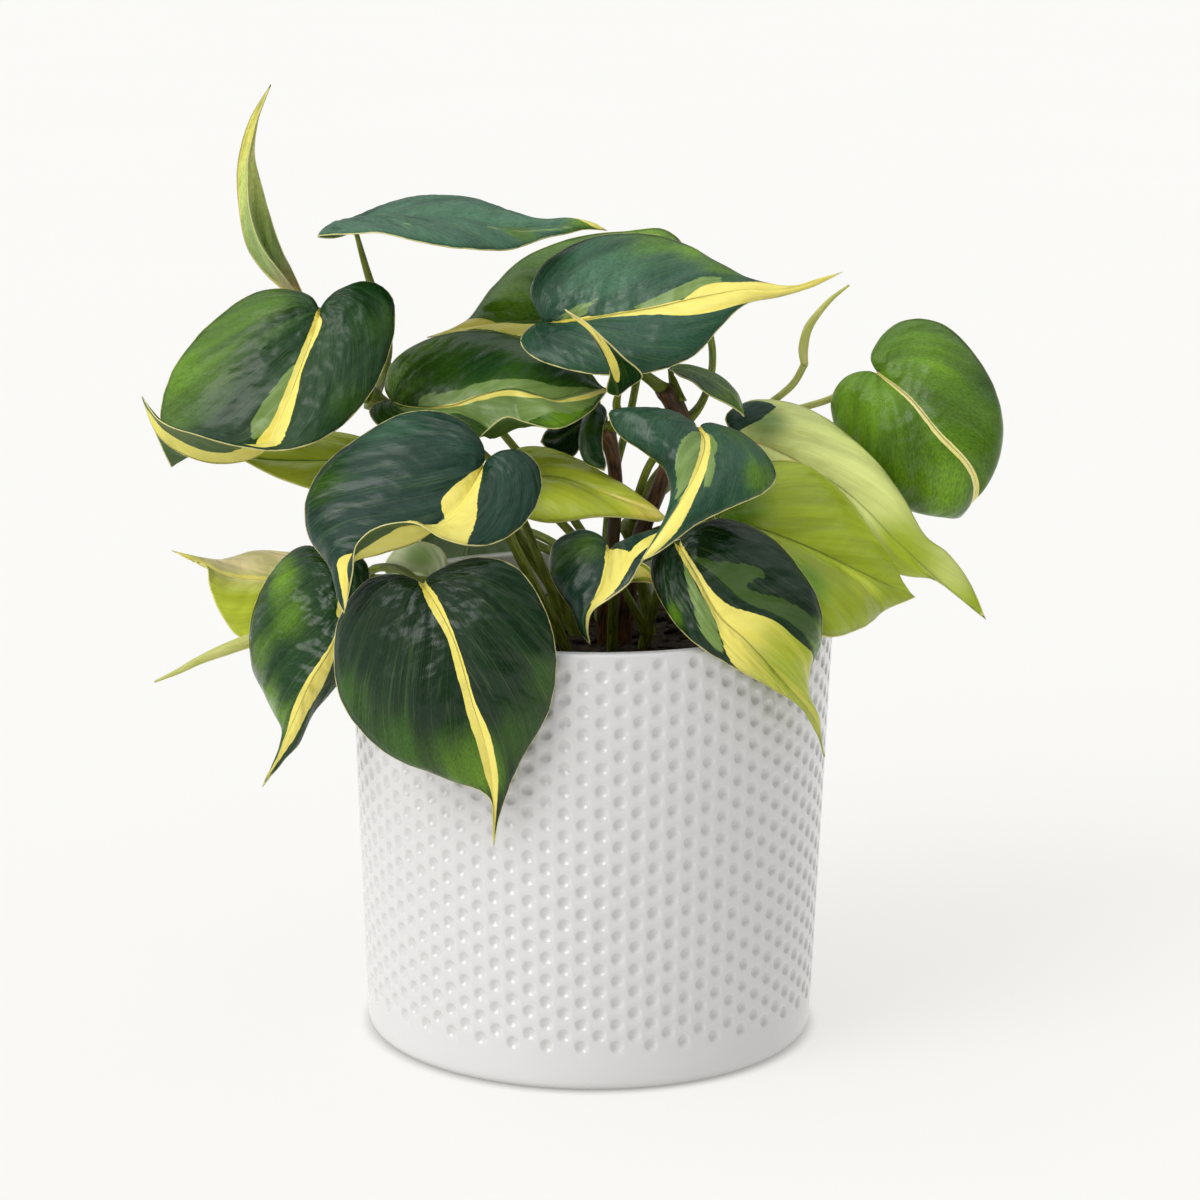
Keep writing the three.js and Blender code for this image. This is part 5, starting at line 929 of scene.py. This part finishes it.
def thickened(middle, faces, rim, rib, along):
    """A thin closed body round a middle surface, with a sunken midrib, a keel and thinner margins."""
    normals = surface_normals(middle, faces)
    groove = np.exp(-rib ** 2) * (1 - BLADE["groove_fade"] * along)
    thick = BLADE["half"] * (BLADE["thin"] + (1 - BLADE["thin"]) * smooth(rim, 0, BLADE["thin_rim"]))
    top = middle + normals * (thick - BLADE["groove"] * groove)[:, None]
    low = middle - normals * (thick + BLADE["keel"] * groove)[:, None]
    count = len(middle)
    arrows = {(int(face[k]), int(face[(k + 1) % 3])) for face in faces for k in range(3)}
    edge = []
    for a, b in sorted(arrows):
        if (b, a) not in arrows:
            edge += [(b, a, a + count), (b, a + count, b + count)]
    return np.vstack([top, low]), np.vstack([faces, faces[:, ::-1] + count, np.array(edge)])


def painted(blade, points, ground, spots):
    """The mean colour of soft spots at each point, and how much of it shows."""
    count = len(points)
    total, clear = np.full(count, 1e-6), np.ones(count)
    colour = 1e-6 * np.tile(COLOURS[ground], (count, 1))
    for along, across, shade, reach in spots:
        place = blade.points([along], [across])[0]
        share = np.exp(-(np.linalg.norm(points - place, axis=1) / reach) ** 2)
        total, clear = total + share, clear * (1 - share)
        colour = colour + share[:, None] * np.array(COLOURS[shade])
    return colour / total[:, None], 1 - clear


def blade_piece(name, leaf, seed, materials):
    """One leaf blade: its middle surface with relief, made into a thin body, and its areas of colour."""
    look = LOOKS.get(name) or unseen_look(seed)
    blade = Blade(leaf)
    along, across, faces = blade_grid()
    middle = blade.points(along, across)
    count = len(middle)

    def distance(*tracks):
        samples = np.vstack([track.points(np.linspace(0, 1, BLADE["samples"])) for track in tracks])
        return np.linalg.norm(middle[:, None] - samples[None], axis=2).min(axis=1)

    rim, rib = distance(*blade.margins.values()), distance(blade.rib)
    spread = np.linalg.norm(middle - blade.root(along)[0], axis=1).max()
    vein = (along - BLADE["arcing"] * np.abs(across) * (1 - along)) * BLADE["vein_scale"] * spread
    lift = relief(middle, vein, rim, rib, along, seed)
    middle = middle + surface_normals(middle, faces) * lift[:, None]
    points, body = thickened(middle, faces, rim, rib, along)

    def area(kind):
        found = [area_distance(blade, one, middle, along, across) for one in look.get(kind, [])]
        return np.max(found, axis=0) if found else np.full(count, -50.0)

    spot, glow = painted(blade, middle, look["tone"], look.get("spots", []))
    patch, held = painted(blade, middle, "yellow", look.get("patch_spots", []))
    patch = patch * held[:, None] + np.array(COLOURS["yellow"]) * (1 - held[:, None])
    shifted = vein + BLADE["halves_apart"] * (across < 0)
    layer = np.full(count, seed * BLADE["leaves_apart"])
    attributes = {
        "vein": np.stack([shifted, along * blade.rib.length, layer], axis=1),
        "areas": np.stack([area("yellow"), area("sage"), area("moss")], axis=1),
        "edges": np.stack([rim, rib, area("dark")], axis=1),
        "tone": np.tile(COLOURS[look["tone"]], (count, 1)),
        "spot": spot,
        "patch": patch,
    }
    doubled = {key: np.concatenate([value, value]) for key, value in attributes.items()}
    under = np.repeat([0.0, 1.0], count)
    calm = 1.0 if look["tone"] in CALM_TONES else -float(look.get("crumpled", False))
    doubled["sides"] = np.stack([under, np.tile(glow, 2), np.full(2 * count, calm)], axis=1)
    slot = "lime_leaf" if leaf.get("lime") else "leaf"
    mesh_piece("blade_" + name, points, body, materials[slot], "leaf_" + name, doubled)


def tube(points, radius_at, sides, step):
    """Rings of points along a track, with their normals turned as little as possible, and closed ends."""
    track = Track(points)
    count = max(3, int(track.length / step))
    shares = np.linspace(0, 1, count + 1)
    centres, tangents = track.points(shares), track.tangents(shares)
    side = unit(np.cross(tangents[0], [0.3, 1, 0.2]))
    rings, around = [], np.arange(sides) / sides * TURN
    for centre, tangent, radius in zip(centres, tangents, radius_at(track, shares)):
        side = unit(side - tangent * np.dot(side, tangent))
        turn = np.outer(np.cos(around), side) + np.outer(np.sin(around), np.cross(tangent, side))
        rings.append(centre + turn * (radius[:, None] if np.ndim(radius) else radius))
    vertices = np.vstack([*rings, centres[:1], centres[-1:]])
    faces = []
    for start in range(0, count * sides, sides):
        faces += band(list(range(start, start + sides)), list(range(start + sides, start + 2 * sides)))
    first, last = len(vertices) - 2, count * sides
    for k in range(sides):
        after = (k + 1) % sides
        faces += [(first, after, k), (first + 1, last + k, last + after)]
    lengths = np.concatenate([np.repeat(shares * track.length, sides), [0, track.length]])
    turns = np.concatenate([np.tile(around, count + 1), [0, 0]])
    return vertices, faces, lengths, turns


def stem_material(name):
    """Stem: brown bark with lengthwise wrinkles, which is olive green on stalks and pale on young ones."""
    s = Shader(name, IOR=1.45, Coat_Weight=0.08, Coat_Roughness=0.3)
    along, turn, kind = s.parts(s.attribute("bark"))
    round_x, round_y = (s.math("MULTIPLY", s.math(part, turn), 1.5) for part in ("SINE", "COSINE"))
    grain = s.node("CombineXYZ", X=round_x, Y=round_y, Z=s.math("MULTIPLY", along, 0.1)).outputs[0]
    lines = s.noise(grain, 2.0, 5.0, 0.62)
    patches = s.noise(grain, 0.6, 2.0)
    wood = s.mix(s.step(lines, 0.35, 0.65), srgb(46, 26, 16), srgb(124, 82, 48))
    wood = s.mix(s.step(patches, 0.5, 0.75, 0.0, 0.6), wood, srgb(92, 84, 40))
    green = s.mix(s.step(lines, 0.38, 0.68), srgb(94, 110, 24), srgb(152, 162, 54))
    green = s.mix(s.step(patches, 0.62, 0.74, 0.0, 0.35), green, srgb(120, 84, 40))
    young = s.mix(s.step(lines, 0.3, 0.7), srgb(176, 188, 76), srgb(214, 206, 130))
    colour = s.mix(s.step(kind, 0.0, 1.0), wood, green)
    colour = s.mix(s.step(kind, 1.0, 2.0), colour, young)
    return s.finish(colour, s.math("MULTIPLY_ADD", lines, 0.2, 0.38), s.bump(lines, 0.6, 0.0005))


def stem_path(vine):
    """A vine's own stem, from under the soil up."""
    first, second = (np.array(point[:3], float) for point in vine["stem"][:2])
    down = first - second
    down *= (first[2] - STEM["root"]) / -down[2]
    return with_tip([[*(first + down), vine["stem"][0][3]], *vine["stem"]], vine.get("leaf"))


def with_tip(points, leaf):
    """A stalk's points, going on into the underside of the blade that it carries."""
    if not leaf:
        return points
    blade = Blade(LEAVES[leaf])
    seats = [blade.seat(behind) for behind in (STEM["behind"], STEM["tip"])]
    return [*points, *([*seat, STEM["tip_radius"]] for seat in seats)]


def vine_piece(name, vine, seed, materials):
    """A stem with rings at its nodes, and the stalks that leave it, widened where they clasp it."""
    stalks = vine.get("stalks", [])
    joints = [np.array(stalk["path"][0][:3], float) for stalk in stalks]
    vertices, faces, bark = [], [], []

    def add(points, number, kind):
        def radius_at(track, shares):
            radii = track.values_at(shares)
            places = track.points(shares)
            lengths = shares * track.length
            if number:
                radii = radii * (1 + STEM["clasp"] * np.exp(-lengths / STEM["clasp_reach"]))
            for joint in [] if number else joints:
                apart = np.linalg.norm(places - joint, axis=1)
                knot, swelling = (STEM[key] * np.exp(-(apart / STEM[key + "_reach"]) ** 2)
                                  for key in ("knot", "swelling"))
                radii = radii * (1 + knot + swelling)
            rough = [noise.noise(Vector((length / STEM["uneven_size"], seed, number * 9.0)))
                     for length in lengths]
            return radii * (1 + STEM["uneven"] * np.array(rough))

        ring, skin, lengths, turns = tube(points, radius_at, STEM["sides"], STEM["step"])
        start = sum(len(one) for one in vertices)
        vertices.append(ring)
        faces.extend([[index + start for index in face] for face in skin])
        shifted = lengths + seed * STEM["vines_apart"] + number * STEM["stalks_apart"]
        bark.append(np.stack([shifted, turns, np.full(len(ring), kind)], axis=1))

    woody = vine.get("woody", False)
    add(stem_path(vine), 0, 0 if woody else 1)
    for number, stalk in enumerate(stalks, 1):
        add(with_tip(stalk["path"], stalk.get("leaf")), number, 1 + stalk.get("youth", 0))
    slot = "brown_stem" if woody else "green_stem"
    piece = "vine_" + name.removeprefix("stem_")
    mesh_piece(piece, np.vstack(vertices), faces, materials[slot], name, {"bark": np.vstack(bark)})


def spear_piece(name, spear, materials):
    """A rolled young leaf on a free end, with the edge of the roll winding up along it."""
    vine = VINES[spear["vine"]]
    bare = [stalk["path"] for stalk in vine["stalks"] if "leaf" not in stalk]
    track = Track([*bare, vine["stem"]][0])
    start = track.points([1])[0] - track.tangents([1])[0] * SPEAR["sunk"]
    points = [[*start, spear["path"][0][3] * SPEAR["narrowed"]], *spear["path"]]

    def radius_at(route, shares):
        around = np.arange(SPEAR["sides"]) / SPEAR["sides"] * TURN
        seam = np.mod(around[None] - shares[:, None] * SPEAR["turns"], TURN)
        sunken = SPEAR["seam"] * np.exp(-seam / SPEAR["seam_width"])
        body = route.values_at(shares)[:, None]
        return body * (SPEAR["full"] - sunken - SPEAR["oval"] * np.cos(2 * around)[None])

    ring, skin, lengths, turns = tube(points, radius_at, SPEAR["sides"], SPEAR["step"])
    bark = np.stack([lengths, turns, np.full(len(ring), 2.0)], axis=1)
    mesh_piece("young_" + name, ring, skin, materials["green_stem"], name, {"bark": bark})


def pot_radius(height):
    return POT["foot"] + (POT["rim"] - POT["foot"]) * height / POT["height"]


def corner(radius, height, size, start, end, steps):
    """A quarter round of the pot's profile."""
    angles = np.radians(np.linspace(start, end, steps + 1))
    return [(radius + size * math.cos(a), height + size * math.sin(a)) for a in angles]


class PotMesh:
    """Points of the pot by half columns and height, which are shared where patches meet."""

    def __init__(self):
        self.points, self.dips, self.faces, self.shared = [], [], [], {}

    def add(self, turn, height, depth=0.0, dip=0.0, radius=None):
        angle = (turn + DIMPLES["turn"]) * math.pi / DIMPLES["columns"]
        reach = (pot_radius(height) if radius is None else radius) - depth
        self.points.append((reach * math.cos(angle), reach * math.sin(angle), height))
        self.dips.append(dip)
        return len(self.points) - 1

    def wall_point(self, turn, height):
        key = (turn % (2 * DIMPLES["columns"]), round(height, 3))
        if key not in self.shared:
            self.shared[key] = self.add(turn, height)
        return self.shared[key]

    def dimple(self, index, centre, low, high):
        """One dimple, as rings of points joined to the eight points round its patch of the wall."""
        count, radius, depth = DIMPLES["segments"], DIMPLES["radius"], DIMPLES["depth"]
        around = [(index + 1, centre), (index + 1, high), (index, high), (index - 1, high),
                  (index - 1, centre), (index - 1, low), (index, low), (index + 1, low)]
        border = [self.wall_point(turn, height) for turn, height in around]
        width = math.pi * pot_radius(centre) / DIMPLES["columns"]
        turns = [math.atan2(height - centre, (turn - index) * width) % TURN for turn, height in around]
        middle = self.add(index, centre, depth, 1)
        inner = None
        for share in DIMPLES["rings"]:
            dip = max(0, 1 - share ** 2)
            ring = []
            for k in range(count):
                angle = TURN * k / count
                turn = index + share * radius * math.cos(angle) / width
                ring.append(self.add(turn, centre + share * radius * math.sin(angle), depth * dip, dip))
            for k in range(count):
                after = (k + 1) % count
                self.faces.append((inner[k], ring[k], ring[after], inner[after]) if inner
                                  else (middle, ring[k], ring[after]))
            inner = ring
        k = m = 0
        while k < count or m < len(border):
            next_ring = TURN * (k + 1) / count
            next_border = turns[m + 1] if m + 1 < len(border) else TURN + turns[0]
            if m == len(border) or (k < count and next_ring <= next_border):
                self.faces.append((inner[k % count], border[m % len(border)], inner[(k + 1) % count]))
                k += 1
            else:
                self.faces.append((inner[k % count], border[m], border[(m + 1) % len(border)]))
                m += 1

    def skin(self, first, profile, upward):
        """Rings of a profile that go on from a ring of points, on the outside upward or down."""
        for radius, height in profile:
            ring = [self.add(turn, height, radius=radius) for turn in range(len(first))]
            self.faces += [face if upward else face[::-1] for face in band(first, ring)]
            first = ring
        return first


def pot_piece(material):
    """The pot: pressed dimples in a staggered pattern, a rounded lip and foot, and a plain inside."""
    top, size, lip, wall, foot = (POT[key] for key in ("height", "corner", "lip", "wall", "foot"))
    pitch, count = DIMPLES["pitch"], 2 * DIMPLES["columns"]
    high = top - lip
    low = DIMPLES["top"] - (DIMPLES["rows"] - 0.5) * pitch
    mesh = PotMesh()
    for column in range(DIMPLES["columns"]):
        odd = column % 2
        for row in range(DIMPLES["rows"] - odd):
            centre = DIMPLES["top"] - odd * pitch / 2 - row * pitch
            mesh.dimple(2 * column, centre, centre - pitch / 2, min(high, centre + pitch / 2))
        for start, end in [(low, low + pitch / 2), (DIMPLES["top"], high)] if odd else []:
            for turn in (2 * column - 1, 2 * column):
                mesh.faces.append((mesh.wall_point(turn, start), mesh.wall_point(turn + 1, start),
                                   mesh.wall_point(turn + 1, end), mesh.wall_point(turn, end)))
    under = [(foot - inset, height) for inset, height in (FOOT_RING["inner"], FOOT_RING["outer"])]
    under += corner(pot_radius(0) - size, size, size, -90, 0, 6)
    down = [(pot_radius(height), height) for height in POT["band"]] + under[::-1]
    down.append((FOOT_RING["middle"], FOOT_RING["inner"][1]))
    inside = corner(pot_radius(top) - lip, high, lip, 0, 90, 5)[1:]
    inside += corner(pot_radius(top) - wall + lip, high, lip, 90, 180, 5)
    inside += [(pot_radius(height) - wall, height) for height in POT["inside"]]
    inside += [(foot - wall - POT["cove"], POT["floor"] + 1), (FOOT_RING["middle"], POT["floor"])]
    bottom = mesh.skin([mesh.wall_point(turn, low) for turn in range(count)], down, False)
    within = mesh.skin([mesh.wall_point(turn, high) for turn in range(count)], inside, True)
    mesh.faces += [tuple(bottom[::-1]), tuple(within)]
    mesh_piece("dimpled_pot", mesh.points, mesh.faces, material, "pot", {"dip": mesh.dips})


def glaze_material():
    """White glaze: a touch greyer towards the middle of each dimple as painted shade in the hollows, with a
    slight orange-peel surface.
    """
    s = Shader("glaze", IOR=1.5, Coat_Weight=0.5, Coat_Roughness=0.06)
    place = s.place()
    cloud, speck, peel = s.noise(place, 35.0, 2.0), s.noise(place, 900.0, 1.0), s.noise(place, 220.0, 2.0)
    colour = s.mix(cloud, srgb(222, 220, 219), srgb(217, 215, 214))
    # Painted shade: the glaze turns greyer the deeper a point lies in a dimple
    colour = s.mix(s.step(s.attribute("dip", "Fac"), 0.0, 0.5, 0.0, 0.3), colour, srgb(212, 208, 206))
    colour = s.mix(s.step(speck, 0.72, 0.8, 0.0, 0.4), colour, srgb(228, 220, 208))
    return s.finish(colour, s.math("MULTIPLY_ADD", cloud, 0.08, 0.16), s.bump(peel, 0.12, 0.0004))


def soil_material():
    """Potting soil: dark brown crumbs with paler patches of bark."""
    s = Shader("soil", IOR=1.4)
    place = s.place()
    crumbs, patches = s.noise(place, 420.0, 6.0, 0.7), s.noise(place, 60.0, 2.0)
    colour = s.mix(s.step(crumbs, 0.35, 0.7), srgb(22, 14, 10), srgb(78, 56, 40))
    colour = s.mix(s.step(patches, 0.55, 0.75, 0.0, 0.6), colour, srgb(104, 76, 52))
    return s.finish(colour, s.math("MULTIPLY_ADD", crumbs, 0.2, 0.75), s.bump(crumbs, 0.9, 0.0012))


def bark_bits(points, faces, reach):
    """Adds flattened rough lumps of bark, spread over the soil."""
    chance = random.Random(7)
    ball = bmesh.new()
    bmesh.ops.create_icosphere(ball, subdivisions=2, radius=1)
    ball.verts.index_update()
    corners = [vertex.co.copy() for vertex in ball.verts]
    sides = [[vertex.index for vertex in face.verts] for face in ball.faces]
    ball.free()
    for bit in range(BARK["bits"]):
        radius = reach * math.sqrt(chance.random())
        angle = chance.uniform(0, TURN)
        size = chance.choice(BARK["sizes"])
        width, height = (size * chance.uniform(*BARK[key]) for key in ("width", "height"))
        form = Matrix.Diagonal((size, width, height))
        spin = Matrix.Rotation(chance.uniform(0, 6.3), 3, "Z")
        turn = spin @ Matrix.Rotation(chance.uniform(-BARK["tilt"], BARK["tilt"]), 3, "X")
        lying = SOIL["top"] + size * BARK["lift"]
        place = Vector((radius * math.cos(angle), radius * math.sin(angle), lying))
        start = len(points)
        for co in corners:
            rough = 1 + BARK["rough"] * noise.noise(co * BARK["grain"] + Vector((bit, 0, 0)))
            points.append(tuple(place + turn @ (form @ (co * rough))))
        faces += [[index + start for index in side] for side in sides]


def soil_piece(material):
    """Uneven potting soil with bits of bark on it, up to the pot's inner wall."""
    outer = pot_radius(SOIL["top"]) - POT["wall"] - SOIL["clearance"]
    rings, columns = SOIL["rings"], SOIL["columns"]
    points, faces = [(0, 0, SOIL["top"] + SOIL["crown"])], []
    for ring in range(1, rings + 1):
        radius = outer * ring / rings
        for k in range(columns):
            angle = k / columns * TURN
            x, y = radius * math.cos(angle), radius * math.sin(angle)
            rough = sum(noise.noise(Vector((x / size, y / size, layer))) * tall
                        for size, layer, tall in SOIL["swells"])
            fade = 1 if ring < rings else SOIL["edge_rough"]
            points.append((x, y, SOIL["top"] - SOIL["edge_drop"] * (ring / rings) ** 3 + rough * fade))
    for k in range(columns):
        faces.append((0, 1 + k, 1 + (k + 1) % columns))
    for ring in range(rings - 1):
        for k in range(columns):
            a, b = 1 + ring * columns + k, 1 + ring * columns + (k + 1) % columns
            faces.append((a, a + columns, b + columns, b))
    rim, below, low = 1 + (rings - 1) * columns, len(points), SOIL["low"]
    for k in range(columns):
        after = (k + 1) % columns
        x, y, _ = points[rim + k]
        points.append((x * SOIL["taper"], y * SOIL["taper"], low))
        faces.append((rim + k, below + k, below + after, rim + after))
    points.append((0, 0, low))
    for k in range(columns):
        faces.append((below + columns, below + (k + 1) % columns, below + k))
    bark_bits(points, faces, outer - BARK["margin"])
    mesh_piece("potting_soil", points, faces, material, "soil")


def camera():
    """The photograph's viewpoint, as a place, three angles and a lens."""
    data = bpy.data.cameras.new("camera")
    data.lens, data.sensor_width = CAMERA["lens"], CAMERA["sensor"]
    view = placed("camera", data)
    pitch, yaw, roll = CAMERA["pitch"], CAMERA["yaw"], CAMERA["roll"]
    ahead = Vector((math.sin(yaw) * math.cos(pitch), math.cos(yaw) * math.cos(pitch), -math.sin(pitch)))
    right = ahead.cross(Vector((0, 0, 1))).normalized()
    up = right.cross(ahead)
    turned = math.cos(roll) * right + math.sin(roll) * up
    risen = math.cos(roll) * up - math.sin(roll) * right
    axes = Matrix((turned, risen, -ahead)).transposed()
    view.matrix_world = Matrix.Translation(CAMERA["place"]) @ axes.to_4x4()
    bpy.context.scene.camera = view


def floor_material():
    """Pale floor that glows a little, less so under the pot, which paints a contact shadow at its foot."""
    s = Shader("floor", IOR=1.3, Specular_IOR_Level=0.2, Emission_Color=srgb(255, 253, 249))
    place = s.place()
    reach = s.node("VectorMath", {"operation": "LENGTH"}, _0=place).outputs["Value"]
    # Painted contact shadow: the floor's glow drops near the pot's foot
    glow = s.step(reach, FLOOR["dark_to"] * MM, FLOOR["bright_from"] * MM, FLOOR["under"], FLOOR["glow"])
    s.put(s.surface["Emission Strength"], glow)
    return s.finish(s.mix(s.noise(place, 3.0, 3.0), srgb(147, 147, 146), srgb(145, 145, 144)), 0.8)


def studio():
    """A wide pale floor, white surroundings and a soft sun from the upper left."""
    reach, parts = FLOOR["reach"], FLOOR["parts"]
    lines = [-reach + 2 * reach * k / parts for k in range(parts + 1)]
    starts = [row * (parts + 1) + k for row in range(parts) for k in range(parts)]
    mesh = bpy.data.meshes.new("floor")
    mesh.from_pydata([(x, y, 0) for y in lines for x in lines], [],
                     [(a, a + 1, a + parts + 2, a + parts + 1) for a in starts])
    mesh.materials.append(floor_material())
    placed("floor", mesh)
    surroundings()
    sun = bpy.data.lights.new("key", "SUN")
    sun.energy, sun.angle, sun.color = LIGHT["key"], math.radians(LIGHT["softness"]), LIGHT["key_tint"]
    placed("key", sun).rotation_euler = Vector(LIGHT["from"]).to_track_quat("Z", "Y").to_euler()
    bpy.context.scene.view_settings.view_transform = "Standard"


def surroundings():
    """White surroundings: bright overhead and to the left, dimmer at the sides, white at the horizon."""
    world = bpy.data.worlds.new("surroundings")
    bpy.context.scene.world = world
    s = Nodes(world)
    direction = s.node("TexCoord").outputs["Generated"]
    height = s.parts(direction)[2]
    over = s.step(height, 0.25, 0.85, LIGHT["side"], LIGHT["over"])
    light = s.math("MAXIMUM", over, s.step(height, 0.17, 0.3, LIGHT["horizon"], 0.0))
    for toward, end, strength in LIGHT["glows"]:
        toward = Vector(toward).normalized()
        beside = s.node("VectorMath", {"operation": "DOT_PRODUCT"}, _0=direction, _1=toward).outputs["Value"]
        light = s.math("ADD", light, s.step(beside, end, 0.95, 0.0, strength))
    sky = s.tree.nodes["Background"].inputs
    s.put(sky["Strength"], light)
    s.put(sky["Color"], LIGHT["tint"])


camera()
materials = {
    "leaf": blade_material("leaf"), "lime_leaf": blade_material("lime_leaf"),
    "brown_stem": stem_material("brown_stem"), "green_stem": stem_material("green_stem"),
}
pot_piece(glaze_material())
soil_piece(soil_material())
for seed, (name, vine) in enumerate(VINES.items()):
    vine_piece(name, vine, seed, materials)
for name, spear in SPEARS.items():
    spear_piece(name, spear, materials)
for seed, (name, leaf) in enumerate(LEAVES.items()):
    blade_piece(name, leaf, seed, materials)
studio()
